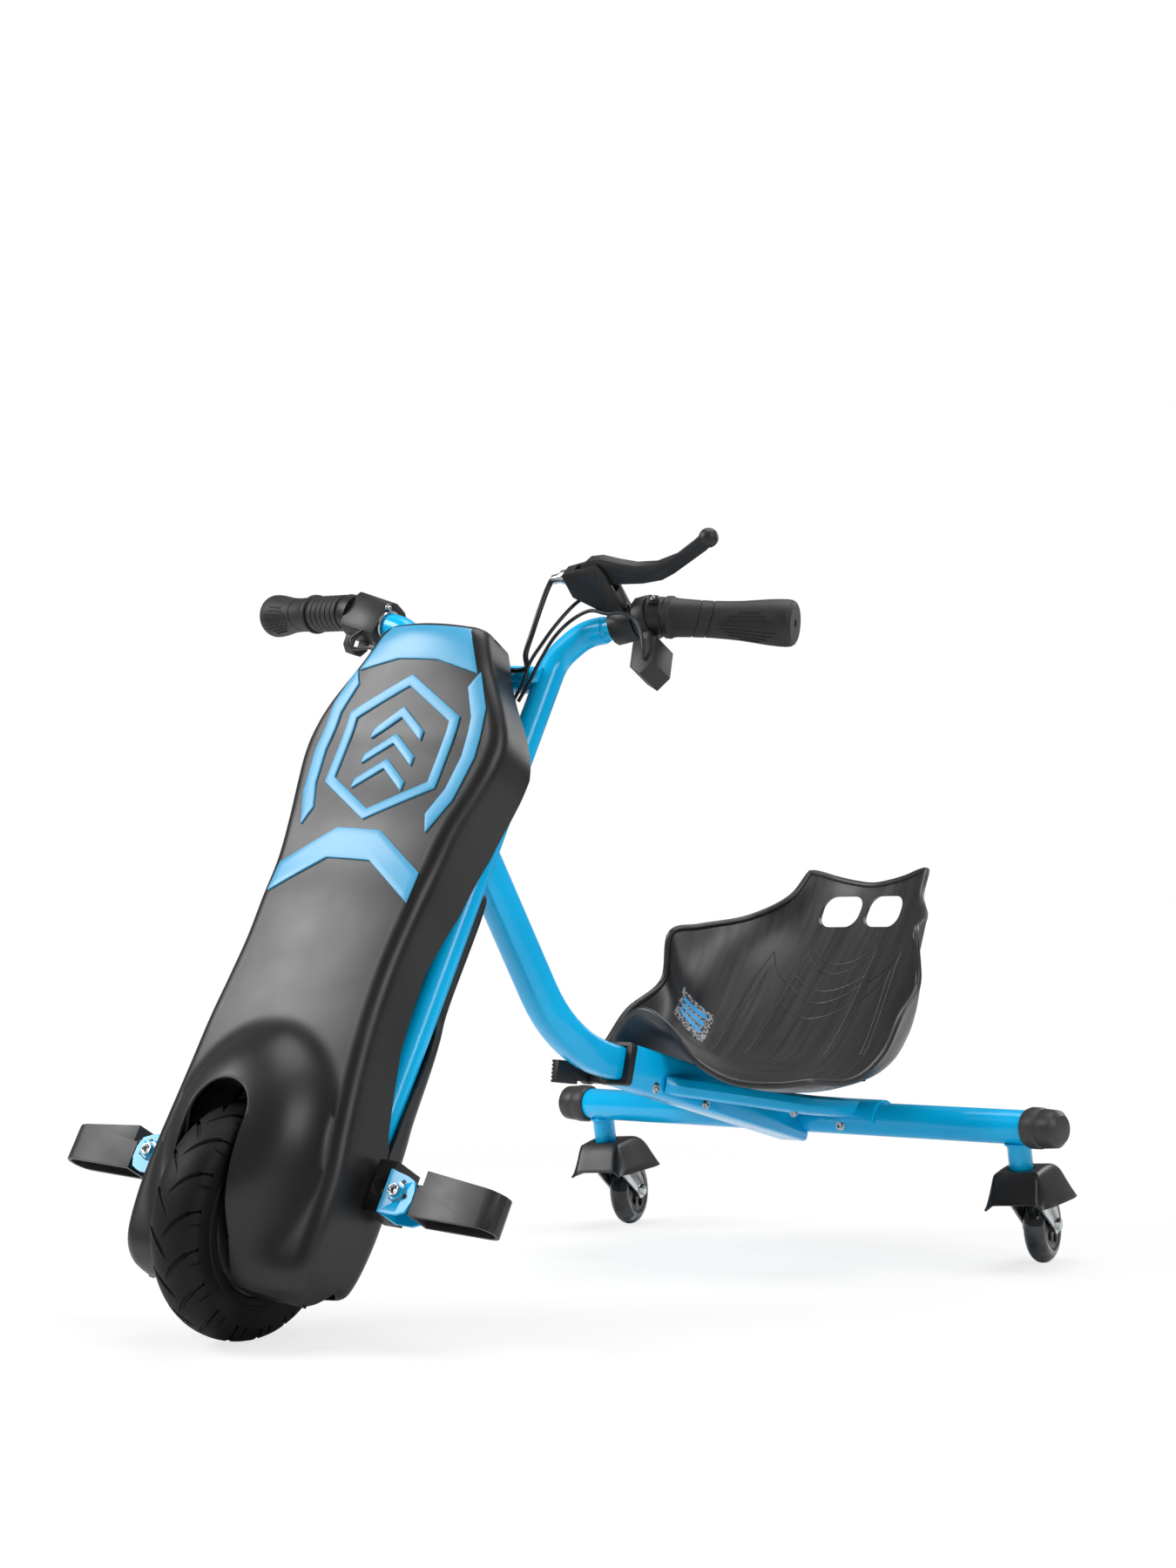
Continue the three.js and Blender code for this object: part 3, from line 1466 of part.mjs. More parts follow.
const collar = { flange: 8, width: 40, height: 42, liner: 60, stud: 5, studLength: 13, studY: -4 };
const lugShare = 0.4;
const lugDropShare = 0.28;
const release = {
  length: 48,
  width: 22,
  thickness: 9,
  hub: 10,
  ribs: 5,
  rib: 1.4,
  tilt: 8 * degrees,
  x: 36,
};
const releaseNeckShare = 0.7;
const paddleShare = 0.6;
const grooveShare = 0.7;

function railCollar() {
  const flange = prismY(roundedOutline(collar.width, collar.height, rail.corner), collar.flange);
  flange.translate(0, -collar.flange / 2 - runGap, 0);
  const liner = prismY(railInside(2 * runGap), collar.liner + collar.flange / 2);
  liner.translate(0, (collar.liner - collar.flange / 2) / 2, 0);
  const room = box(neck.width + 2 * runGap, collar.liner * 3, neck.height + 2 * runGap);
  const lug = box(collar.studLength, collar.flange, collar.height * lugShare);
  lug.translate(
    -collar.width / 2 - collar.studLength / 4,
    -collar.flange / 2 - runGap,
    -collar.height * lugDropShare,
  );
  const studX = -collar.width / 2 - collar.studLength;
  const studRod = rodX(collar.stud, collar.studLength * 2).translate(
    studX,
    collar.studY - runGap,
    -collar.height * lugDropShare,
  );
  return fromRail(cut(join(flange, liner, lug, studRod), room));
}

// The lever about its own pin, reaching forward.
function releaseLever() {
  const core = rodX(release.hub, release.thickness, roundSides);
  const blade = box(release.thickness, release.length, release.width * releaseNeckShare);
  blade.translate(0, -release.length / 2, 0);
  const paddle = box(release.thickness, release.length * paddleShare, release.width);
  paddle.translate(0, -release.length * (1 - paddleShare / 2), 0);
  const grooves = Array.from({ length: release.ribs }, (unused, i) =>
    box(release.rib * 2, release.length, release.rib).translate(
      -release.thickness / 2,
      -release.length,
      (i / (release.ribs - 1) - 1 / 2) * release.width * grooveShare,
    ),
  );
  return cut(join(core, blade, paddle), ...grooves, rodX(boreRadius(collar.stud), release.length));
}

// Seat carrier: a strip along the rail with a channel across it

const carrier = {
  frontBolt: 140,
  rearBolt: 205,
  bolt: 4,
  strip: 30,
  thickness: 4,
  start: 120,
  length: 128,
  pad: 9,
  padX: 48,
  seatLift: 1,
  channel: { x: 95, depth: 40, y: 728, low: 178.5, high: 187, foot: 22 },
};

// Seat: a bucket shell through ten stations from the front lip to the top of the back

const seat = { half: 184, frontY: 512, length: 382, lowZ: 180, height: 216, thickness: 4, rim: 7 };
seat.holes = { near: 6, far: 50, low: 337, high: 365 };
const seatShares = [
  [
    [0, 0, 0.375], [0.163, 0.005, 0.306], [0.326, 0.024, 0.148],
    [0.543, 0.045, 0.06], [0.761, 0.086, 0.046], [0.897, 0.141, 0.06],
  ],
  [
    [0, 0.126, 0.241], [0.174, 0.126, 0.194], [0.337, 0.131, 0.083],
    [0.543, 0.147, 0.019], [0.788, 0.191, 0.019], [0.978, 0.262, 0.056],
  ],
  [
    [0, 0.283, 0.116], [0.19, 0.283, 0.093], [0.38, 0.29, 0.023],
    [0.571, 0.304, 0], [0.815, 0.335, 0.028], [1, 0.374, 0.157],
  ],
  [
    [0, 0.44, 0.079], [0.217, 0.44, 0.06], [0.435, 0.445, 0.019],
    [0.652, 0.461, 0.028], [0.87, 0.492, 0.116], [0.984, 0.466, 0.324],
  ],
  [
    [0, 0.55, 0.093], [0.217, 0.555, 0.093], [0.435, 0.565, 0.093],
    [0.652, 0.584, 0.148], [0.842, 0.602, 0.287], [0.924, 0.592, 0.44],
  ],
  [
    [0, 0.681, 0.269], [0.217, 0.681, 0.269], [0.435, 0.675, 0.278],
    [0.641, 0.66, 0.324], [0.804, 0.628, 0.44], [0.88, 0.613, 0.671],
  ],
  [
    [0, 0.806, 0.5], [0.207, 0.801, 0.5], [0.435, 0.785, 0.514],
    [0.609, 0.754, 0.546], [0.734, 0.717, 0.625], [0.804, 0.681, 0.755],
  ],
  [
    [0, 0.906, 0.694], [0.19, 0.903, 0.694], [0.353, 0.893, 0.704],
    [0.478, 0.874, 0.722], [0.571, 0.848, 0.759], [0.641, 0.817, 0.806],
  ],
  [
    [0, 0.963, 0.833], [0.152, 0.963, 0.838], [0.283, 0.955, 0.852],
    [0.38, 0.942, 0.87], [0.435, 0.927, 0.889], [0.478, 0.911, 0.907],
  ],
  [
    [0, 1, 0.94], [0.136, 0.997, 0.954], [0.261, 0.992, 0.977],
    [0.353, 0.984, 1], [0.402, 0.979, 1.009], [0.429, 0.974, 1.009],
  ],
];
const seatRows = 16;
const seatColumns = 8;

// The seat's upper face as rows of points from right to left.
function seatGrid() {
  const place = ([x, y, z]) =>
    new THREE.Vector3(x * seat.half, seat.frontY + y * seat.length, seat.lowZ + z * seat.height);
  const stations = seatShares.map((row) => {
    const half = row.map(place);
    const other = half.slice(1).reverse().map((point) => new THREE.Vector3(-point.x, point.y, point.z));
    return new THREE.CatmullRomCurve3([...other, ...half], false, "centripetal").getPoints(2 * seatColumns);
  });
  const columns = stations[0].map((unused, i) =>
    new THREE.CatmullRomCurve3(
      stations.map((station) => station[i]),
      false,
      "centripetal",
    ).getPoints(seatRows),
  );
  return columns[0].map((unused, row) => columns.map((column) => column[row]));
}

function seatShell() {
  const grid = seatGrid();
  const rows = grid.length;
  const columns = grid[0].length;
  const at = (row, column) => grid[Math.min(Math.max(row, 0), rows - 1)][Math.min(
    Math.max(column, 0),
    columns - 1,
  )];
  const normal = (row, column) => {
    const across = at(row, column + 1).clone().sub(at(row, column - 1));
    const back = at(row + 1, column).clone().sub(at(row - 1, column));
    return across.cross(back).normalize();
  };
  const normals = grid.map((line, row) => line.map((unused, column) => normal(row, column)));
  const lower = grid.map((line, row) =>
    line.map((point, column) => {
      const edge = row === 0 || row === rows - 1 || column === 0 || column === columns - 1;
      return point.clone().addScaledVector(normals[row][column], -(edge ? seat.rim : seat.thickness));
    }),
  );
  const points = [...grid.flat(), ...lower.flat()];
  const positions = points.flatMap((point) => [point.x, point.y, point.z]);
  const size = rows * columns;
  const indices = [];
  const quad = (a, b, c, d) => indices.push(a, b, c, a, c, d);
  for (let row = 0; row < rows - 1; row++) {
    for (let column = 0; column < columns - 1; column++) {
      const a = row * columns + column;
      quad(a, a + 1, a + columns + 1, a + columns);
      quad(size + a, size + a + columns, size + a + columns + 1, size + a + 1);
    }
  }
  for (let column = 0; column < columns - 1; column++) {
    const last = (rows - 1) * columns + column;
    quad(column, size + column, size + column + 1, column + 1);
    quad(last, last + 1, size + last + 1, size + last);
  }
  for (let row = 0; row < rows - 1; row++) {
    const first = row * columns;
    const last = first + columns - 1;
    quad(first, first + columns, size + first + columns, size + first);
    quad(last, size + last, size + last + columns, last + columns);
  }
  const geometry = new THREE.BufferGeometry();
  geometry.setAttribute("position", new THREE.Float32BufferAttribute(positions, 3));
  geometry.setIndex(indices);
  const { holes } = seat;
  const openings = [1, -1].map((sign) =>
    prismY(
      roundedOutline(holes.far - holes.near, holes.high - holes.low, (holes.high - holes.low) / 3),
      seat.length / 2,
    ).translate(
      (sign * (holes.far + holes.near)) / 2,
      seat.frontY + seat.length,
      (holes.high + holes.low) / 2,
    ),
  );
  return cut(geometry, ...openings);
}

function seatCarrier(seatForm) {
  const { channel } = carrier;
  const strip = fromRail(
    box(carrier.strip, carrier.length, carrier.thickness).translate(
      0,
      carrier.start + carrier.length / 2,
      rail.height / 2 + runGap + carrier.thickness / 2,
    ),
  );
  const height = channel.high - channel.low;
  const beam = box(2 * channel.x, channel.depth, height).translate(0, channel.y, channel.low + height / 2);
  const underside = box(2 * channel.x + overrun, channel.depth - 2 * carrier.thickness, height);
  underside.translate(0, channel.y, channel.low + height / 2 - carrier.thickness);
  const webHeight = channel.high - channel.low + channel.foot;
  const web = box(carrier.strip, carrier.thickness * 2, webHeight);
  web.translate(0, channel.y - channel.depth / 2 + carrier.thickness, channel.high - webHeight / 2);
  const padY = channel.y - carrier.thickness;
  const pads = [1, -1].map((sign) =>
    rodZ(carrier.pad, channel.foot * 2, roundSides).translate(
      sign * carrier.padX,
      padY,
      channel.high + channel.foot - runGap,
    ),
  );
  const front = fromRail(
    rodZ(carrier.pad, channel.foot * 2, roundSides).translate(
      0,
      carrier.frontBolt,
      rail.height / 2 + channel.foot + carrier.thickness / 2,
    ),
  );
  const bolts = [carrier.frontBolt, carrier.rearBolt].map((distance) =>
    fromRail(rodZ(carrier.bolt, 2 * rail.wall).translate(0, distance, rail.height / 2)),
  );
  const railRoom = fromRail(
    prismY(rectangle(rail.width + 2 * runGap, rail.height + 2 * runGap), rail.length * 3),
  );
  const frame = cut(join(cut(join(beam, strip), underside), web, ...pads, front), railRoom);
  const seatRoom = [-runGap, carrier.seatLift].map((lift) => seatForm.clone().translate(0, 0, lift));
  return largest(cut(join(frame, ...bolts), ...seatRoom));
}

// Casters: zinc fork with its stem, moulded fender, clear-smoked tyre and spoked hub

const yoke = {
  plate: 19,
  plateThickness: 5,
  stem: 5,
  stemLength: 20,
  leg: 2.5,
  legX: 14,
  end: 9,
  front: -16,
  back: 20,
  top: 27.4,
  washer: 10,
  washerTop: 24.5,
  kneeY: 42,
  kneeZ: 54,
  axle: 4,
  head: 6.5,
  headLength: 4,
};
const fender = { start: -36, length: 124, half: 36, top: 22, height: 46, wall: 2.5, hole: 13.5 };
// Each row: place along, top, half width of the top, bottom, half width of the bottom.
const fenderShares = [
  [0, 0.6, 0.6, 0.7, 0.82],
  [0.15, 0, 0.62, 0.76, 0.92],
  [0.3, 0, 0.62, 0.8, 0.96],
  [0.52, 0.04, 0.62, 0.86, 1],
  [0.7, 0.2, 0.6, 0.92, 0.98],
  [0.86, 0.5, 0.52, 0.97, 0.88],
  [1, 0.92, 0.4, 1, 0.62],
];
const casterWheel = {
  hub: 24,
  hole: 5.5,
  holeAt: 15,
  holes: 5,
  hubWidth: 20,
  boss: 8,
  bossWidth: 25,
  shoulder: 9,
};
const tyreShoulderShare = 0.75;
const tyreCrownShare = 0.3;

// Depth of a caster's wheel centre below the swivel point, from the way it is turned at rest.
const casterDrop = (swivel) =>
  (stub.z - caster.radius + caster.trail * Math.cos(swivel) * Math.sin(caster.lean)) / Math.cos(caster.lean);

function casterFork(drop) {
  const plateForm = rodZ(
    yoke.plate,
    yoke.plateThickness,
    roundSides,
  ).translate(0, 0, -yoke.top - yoke.plateThickness / 2);
  const stem = rodZ(yoke.stem, yoke.stemLength + yoke.plateThickness);
  stem.translate(0, 0, -yoke.top + (yoke.stemLength - yoke.plateThickness) / 2);
  const bridge = box(2 * (yoke.legX + yoke.leg / 2), yoke.back - yoke.front, yoke.leg);
  bridge.translate(
    0,
    (yoke.back + yoke.front) / 2,
    -yoke.top - yoke.plateThickness - yoke.leg / 2 + runGap,
  );
  const legs = [1, -1].map((sign) => {
    const outline = [
      [yoke.front, -yoke.top - yoke.plateThickness],
      [yoke.front + yoke.end, -yoke.kneeZ],
      [caster.trail - yoke.end, -drop - yoke.leg],
      [caster.trail - yoke.end / 2, -drop - yoke.end],
      [caster.trail + yoke.end / 2, -drop - yoke.end],
      [caster.trail + yoke.end, -drop - yoke.leg],
      [caster.trail + yoke.end, -drop + yoke.end],
      [yoke.kneeY + yoke.leg, -yoke.kneeZ],
      [yoke.back, -yoke.top - yoke.plateThickness],
    ];
    return prismX(outline, yoke.leg).translate(sign * yoke.legX, 0, 0);
  });
  const reach = yoke.legX + yoke.leg / 2 + yoke.headLength;
  const bolt = rodX(yoke.axle, 2 * reach).translate(0, caster.trail, -drop);
  const heads = [1, -1].map((sign) =>
    rodX(yoke.head, yoke.headLength, 6).translate(
      sign * (reach - yoke.headLength / 2),
      caster.trail,
      -drop,
    ),
  );
  const washer = rodZ(yoke.washer, yoke.top - yoke.washerTop + yoke.leg, roundSides);
  washer.translate(0, 0, -yoke.washerTop - (yoke.top - yoke.washerTop + yoke.leg) / 2);
  return join(plateForm, washer, stem, bridge, ...legs, bolt, ...heads);
}

function casterFender() {
  const skin = (inset, drop) => {
    const rings = fenderShares.map(([place, top, topHalf, bottom, bottomHalf], i) => {
      const end = i === 0 ? 1 : i === fenderShares.length - 1 ? -1 : 0;
      const y = fender.start + place * fender.length + end * inset;
      const high = -fender.top - top * fender.height - inset;
      const low = -fender.top - bottom * fender.height - drop;
      const upper = topHalf * fender.half - inset / 2;
      const lower = bottomHalf * fender.half - inset;
      return [
        new THREE.Vector3(lower, y, low),
        new THREE.Vector3(upper, y, high),
        new THREE.Vector3(-upper, y, high),
        new THREE.Vector3(-lower, y, low),
      ];
    });
    return loft(rings.reverse());
  };
  return cut(
    skin(0, 0),
    skin(fender.wall, overrun),
    rodZ(fender.hole, fender.height, roundSides).translate(0, 0, -fender.top),
  );
}

function casterTyre() {
  const half = caster.width / 2;
  const inside = casterWheel.hub + runGap;
  const profile = [
    [inside, -half + runGap],
    [caster.radius - casterWheel.shoulder, -half],
    [caster.radius - casterWheel.shoulder / 3, -half * tyreShoulderShare],
    [caster.radius, -half * tyreCrownShare],
    [caster.radius, half * tyreCrownShare],
    [caster.radius - casterWheel.shoulder / 3, half * tyreShoulderShare],
    [caster.radius - casterWheel.shoulder, half],
    [inside, half - runGap],
    [inside, -half + runGap],
  ];
  return turned(profile, roundSides * 2).rotateZ(-Math.PI / 2);
}

function casterHub() {
  const holes = Array.from({ length: casterWheel.holes }, (unused, i) =>
    rodX(casterWheel.hole, caster.width * 2).translate(0, casterWheel.holeAt, 0).rotateX(
      (2 * Math.PI * i) / casterWheel.holes,
    ),
  );
  const disc = rodX(casterWheel.hub, casterWheel.hubWidth, roundSides * 2);
  const boss = rodX(casterWheel.boss, casterWheel.bossWidth, roundSides);
  return cut(join(disc, boss), ...holes, rodX(boreRadius(yoke.axle), caster.width * 2));
}

// A group whose X axis runs along the bar, towards the trike's left.
function barGroup(parent, from, to, share) {
  const start = new THREE.Vector3(...from);
  const end = new THREE.Vector3(...to);
  const group = new THREE.Group();
  group.position.lerpVectors(start, end, share);
  const x = end.sub(start).normalize();
  if (x.x < 0) x.negate();
  const y = new THREE.Vector3(0, 0, 1).cross(x).normalize();
  const z = new THREE.Vector3().crossVectors(x, y);
  group.quaternion.setFromRotationMatrix(new THREE.Matrix4().makeBasis(x, y, z));
  parent.add(group);
  return group;
}

// Assembly: the steered half

sides.forEach((side) => add(steered, `handlebar_tube_${side.name}`, handlebarTube(side), "bluePaint"));
add(
  steered,
  "crown_upper",
  crownTube(crown.highZ, crown.highZ - crown.bossReach, crown.highZ),
  "bluePaint",
);
add(steered, "crown_lower", crownTube(crown.lowZ, crown.lowZ, crown.lowZ + crown.bossReach), "bluePaint");
add(steered, "steering_pin", steeringPin(), "steel");
add(steered, "front_shell", frontShell(), "blackPlastic");
add(steered, "rear_shell", rearShell(), "blackPlastic");
add(steered, "trim_top", trimTop(), "blueTrim");
add(steered, "trim_bottom", trimBottom(), "blueTrim");
add(steered, "battery_pack", batteryPack(), "batteryCase");
add(steered, "controller_box", controllerBox(), "steel");
add(steered, "drive_motor", driveMotor(), "steel");

const motorGroup = new THREE.Group();
motorGroup.position.set(drive.x, motor.y, motor.z);
steered.add(motorGroup);
add(motorGroup, "motor_sprocket", motorSprocket(), "steel");

const wheelGroup = new THREE.Group();
wheelGroup.position.set(0, -wheel.lead, 0);
steered.add(wheelGroup);
add(wheelGroup, "drive_chain", driveChain(), "steel").position.set(drive.x, 0, 0);
add(wheelGroup, "front_axle", frontAxle(), "steel");
add(wheelGroup, "front_tyre", frontTyre(), "blackRubber");
add(wheelGroup, "front_rim", frontRim(), "blackPaint");
add(wheelGroup, "wheel_sprocket", wheelSprocket(), "steel").position.set(drive.x, 0, 0);
add(wheelGroup, "brake_drum", brakeDrum(), "steel");
add(wheelGroup, "brake_band", brakeBand(), "steel");
const armMesh = add(wheelGroup, "brake_arm", brakeArm(), "steel");
armMesh.position.set(brake.arm.x, brake.arm.pivotY, brake.arm.pivotZ);

sides.forEach((side) => {
  add(steered, `peg_clamp_${side.name}`, pegClamp(side), "blackPlastic");
  add(steered, `peg_bracket_${side.name}`, pegBracket(side), "bluePaint");
  const footMesh = add(steered, `foot_peg_${side.name}`, footPeg(side), "blackPlastic");
  footMesh.position.set(side.sign * peg.pivot.x, peg.y, peg.pivot.z);
});

const turnPoint = ({ sign }) => [sign * turn.x, turn.y, turn.z];
const innerPoint = ({ sign }) => [sign * inner.x, inner.y, inner.z];
const outerPoint = ({ sign }) => [sign * barEnd.x, barEnd.y, barEnd.z];
const perchPlaceShare = 0.66;
const housingPlaceShare = 0.55;

const [left, right] = sides;
const leftGrip = barGroup(steered, turnPoint(left), outerPoint(left), 0);
const rightGrip = barGroup(steered, turnPoint(right), outerPoint(right), 0);
const leftInner = barGroup(steered, innerPoint(left), turnPoint(left), perchPlaceShare);
const rightInner = barGroup(steered, innerPoint(right), turnPoint(right), housingPlaceShare);

add(
  leftGrip,
  "grip_left",
  gripForm(grip.start, bar.gripLength, grip.start + bar.gripLength - grip.cap),
  "blackRubber",
);
const rightGripStart = throttle.sleeveStart + throttle.sleeveLength + 2 * runGap;
const rightGripLength = bar.gripLength - rightGripStart + grip.start;
const rightGripForm = gripForm(
  rightGripStart,
  rightGripLength,
  rightGripStart + rightGripLength - grip.cap,
);
add(rightGrip, "grip_right", mirrorX(fromSolid(toSolid(rightGripForm))), "blackRubber");
add(rightGrip, "throttle_sleeve", throttleSleeve(), "blackRubber");
add(rightInner, "throttle_housing", throttleHousing(), "blackPlastic");
add(leftInner, "brake_perch", perchBody(), "blackPlastic");
add(leftInner, "switch_box", switchBody(), "blackPlastic");
const buttonMesh = add(leftInner, "switch_button", switchButton(), "blackRubber");
buttonMesh.position.set(
  switchBox.hangX,
  switchBox.y + switchBox.depth / 2 + switchBox.button.proud - switchBox.button.length / 2,
  switchBox.hangZ,
);
const leverGroup = new THREE.Group();
leverGroup.position.set(perch.pivotX, perch.pivotY, perch.pivotZ);
leverGroup.rotation.set(perch.tilt, perch.droop, 0);
leftInner.add(leverGroup);
add(leverGroup, "brake_lever", brakeLever(), "blackPlastic");

add(steered, "brake_cable", cordForm(brakeCableShares, cord.cableRadius, 16, 1), "blackRubber");
add(steered, "perch_wire", cordForm(perchWireShares, cord.wireRadius, 16, 1), "blackRubber");
add(steered, "switch_wire", cordForm(switchWireShares, cord.wireRadius, 26, 1), "blackRubber");
add(steered, "throttle_wire", cordForm(throttleWireShares, cord.wireRadius, 20, -1), "blackRubber");

// Assembly: neck and rear frame

add(trike, "neck", neckBeam(), "bluePaint");
add(steeringAxis, "head_bearing_upper", headBearing(head.top, 1), "steel");
add(steeringAxis, "head_bearing_lower", headBearing(head.low, -1), "steel");
add(trike, "box_rail", boxRail(), "bluePaint");
add(trike, "axle_tube", axleBar(), "bluePaint");
sides.forEach((side) => {
  add(trike, `side_brace_${side.name}`, sideBrace(side), "bluePaint");
  add(trike, `axle_cap_${side.name}`, axleCap(side), "blackRubber");
});
add(trike, "rail_collar", railCollar(), "blackPlastic");
const railGroup = new THREE.Group();
railGroup.position.set(0, rail.mouthY, rail.mouthZ);
railGroup.rotation.x = -rail.slope;
trike.add(railGroup);
const leverMesh = add(railGroup, "quick_release_lever", releaseLever(), "blackPlastic");
leverMesh.position.set(-release.x, collar.studY - runGap, -collar.height * lugDropShare);
leverMesh.rotation.x = release.tilt;
const seatForm = seatShell();
add(trike, "seat_shell", seatForm, "blackPlastic");
add(trike, "seat_carrier", seatCarrier(seatForm), "blackPaint");

[
  { ...left, swivel: rest.leftCaster },
  { ...right, swivel: rest.rightCaster },
].forEach(({ name, sign, swivel }) => {
  const leaning = new THREE.Group();
  leaning.position.set(sign * caster.x, stub.y, stub.z);
  leaning.rotation.x = caster.lean;
  trike.add(leaning);
  const swivelling = new THREE.Group();
  swivelling.rotation.z = swivel;
  leaning.add(swivelling);
  const drop = casterDrop(swivel);
  add(swivelling, `caster_fork_${name}`, casterFork(drop), "zinc");
  add(swivelling, `caster_fender_${name}`, casterFender(), "blackPlastic");
  add(swivelling, `caster_tyre_${name}`, casterTyre(), "smokedWheel").position.set(0, caster.trail, -drop);
  add(swivelling, `caster_hub_${name}`, casterHub(), "blackPlastic").position.set(0, caster.trail, -drop);
});

// The frame: middle of the plan on the origin, lowest point on the floor
trike.updateMatrixWorld(true);
const extent = new THREE.Box3().setFromObject(trike, true);
const middle = extent.getCenter(new THREE.Vector3());
trike.position.set(-middle.x, -middle.y, -extent.min.z);

export default trike;
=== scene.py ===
# %% [markdown]
# Drift trike: how its looks are made.
# The CAD solids give every piece its place and size. This lesson adds the finish: smoother copies of the
# turned and moulded pieces, small details such as tread, grip pads and screws, and a material for each.

import json
import math

import bpy
from mathutils import Matrix, Vector
from mathutils.bvhtree import BVHTree


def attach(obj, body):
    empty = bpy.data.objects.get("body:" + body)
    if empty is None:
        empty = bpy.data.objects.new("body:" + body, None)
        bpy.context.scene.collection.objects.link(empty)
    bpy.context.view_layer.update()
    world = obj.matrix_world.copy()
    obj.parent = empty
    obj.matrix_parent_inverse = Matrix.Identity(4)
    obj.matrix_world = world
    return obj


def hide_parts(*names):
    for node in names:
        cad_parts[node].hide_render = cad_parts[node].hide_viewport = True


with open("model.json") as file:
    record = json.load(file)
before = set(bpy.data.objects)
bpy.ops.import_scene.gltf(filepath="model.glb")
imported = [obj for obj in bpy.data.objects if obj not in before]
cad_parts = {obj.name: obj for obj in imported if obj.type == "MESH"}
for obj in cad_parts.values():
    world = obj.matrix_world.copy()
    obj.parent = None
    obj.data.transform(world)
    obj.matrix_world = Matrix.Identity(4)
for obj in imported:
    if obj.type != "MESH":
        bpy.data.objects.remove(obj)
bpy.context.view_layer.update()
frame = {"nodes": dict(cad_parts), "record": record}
mm = 0.001

# %% [markdown]
# Most shapes here are edited with operators, as by hand. An operator acts on all that is selected, so each
# step starts by choosing one object only, and each modifier is applied as soon as it is set.


# %% Small helpers for selecting and editing
def select_none():
    bpy.ops.object.select_all(action="DESELECT")


def pick_only(piece):
    if bpy.context.object and bpy.context.object.mode != "OBJECT":
        bpy.ops.object.mode_set(mode="OBJECT")
    select_none()
    piece.select_set(True)
    bpy.context.view_layer.objects.active = piece


def edit_all(piece):
    pick_only(piece)
    bpy.ops.object.mode_set(mode="EDIT")
    bpy.ops.mesh.select_all(action="SELECT")


def leave_edit():
    bpy.ops.object.mode_set(mode="OBJECT")


def just_added(name):
    piece = bpy.context.object
    piece.name = name
    return piece


def copy_of(piece, name):
    twin = piece.copy()
    twin.name = name
    twin.data = piece.data.copy()
    bpy.context.scene.collection.objects.link(twin)
    return twin


def remove_all(pieces):
    for piece in pieces:
        bpy.data.objects.remove(piece)


pick_only(next(iter(frame["nodes"].values())))
select_none()
print("selected now:", len(bpy.context.selected_objects))


# %% Small helpers for modifiers, normals and places
def apply_modifier(piece, kind, **settings):
    pick_only(piece)
    modifier = piece.modifiers.new(kind.title(), kind)
    for setting, value in settings.items():
        setattr(modifier, setting, value)
    bpy.ops.object.modifier_apply(modifier=modifier.name)
    return piece


def round_edges(piece, width_mm, degrees, segments=2, **settings):
    limit = {"limit_method": "ANGLE", "angle_limit": math.radians(degrees)}
    return apply_modifier(piece, "BEVEL", width=width_mm * mm, segments=segments, **limit, **settings)


def smooth(piece, degrees):
    pick_only(piece)
    bpy.ops.object.shade_smooth_by_angle(angle=math.radians(degrees))
    return piece


def weld(piece, distance=0.02 * mm, outward=True):
    edit_all(piece)
    bpy.ops.mesh.remove_doubles(threshold=distance)
    if outward:
        bpy.ops.mesh.normals_make_consistent(inside=False)
    leave_edit()
    return piece


def face_towards(piece, axis, sign):
    lean = sum(face.normal[axis] * face.area for face in piece.data.polygons)
    if lean * sign < 0:
        piece.data.flip_normals()
    return piece


def place(piece, matrix):
    piece.data.transform(matrix)
    if matrix.determinant() < 0:
        piece.data.flip_normals()
    return piece


def shift_mm(point):
    return Matrix.Translation(Vector(point) * mm)


print("a shift of 1 mm:", round(shift_mm((1, 0, 0)).translation.x, 4), "m")

# %% [markdown]
# The steered half has its own axes: Z up along the steering axis, X along the front axle, with the origin
# where that axis passes the wheel's height. One matrix puts a piece from these axes in its place. The wheel
# turns a little ahead of the axis. The rear half is drawn from its own origin, so a plain shift is enough.

# %% The frames that pieces are made in
rake, steer = math.radians(28.2), math.radians(9.9)
steering_point = Vector((0, -0.378538, 0.090249))
steered = Matrix.Translation(steering_point) @ Matrix.Rotation(-rake, 4, "X") @ Matrix.Rotation(steer, 4, "Z")
wheel_lead = 24
front_wheel_frame = steered @ Matrix.Translation((0, -wheel_lead * mm, 0))
rear_shift = Matrix.Translation((0, -0.399638, -0.000051))
both_sides = ((1, "left"), (-1, "right"))
print("steering axis:", [round(v, 4) for v in steered.col[2][:3]])

# %% [markdown]
# The camera stands where the photograph was taken from. Its focal length and its middle are known in the
# photograph's pixels. The middle is a little off centre, so a small shift is enough, with nothing else.

# %% Camera
photo_width, photo_height = 1350, 1800
focal_pixels, middle_column, middle_row = 3058.09, 694.76, 889.26
camera_spot = (1.75582, -1.86538, 0.36121)
camera_yaw, camera_pitch, camera_roll = (math.radians(angle) for angle in (42.36, 2.84, -0.70))
sensor_mm = 36


def camera_axes(yaw, pitch, roll):
    forward = Vector((-math.sin(yaw) * math.cos(pitch), math.cos(yaw) * math.cos(pitch), math.sin(pitch)))
    right = Vector((math.cos(yaw), math.sin(yaw), 0))
    up = right.cross(forward)
    tilted_right = math.cos(roll) * right + math.sin(roll) * up
    tilted_up = -math.sin(roll) * right + math.cos(roll) * up
    return Matrix((tilted_right, tilted_up, -forward)).transposed()


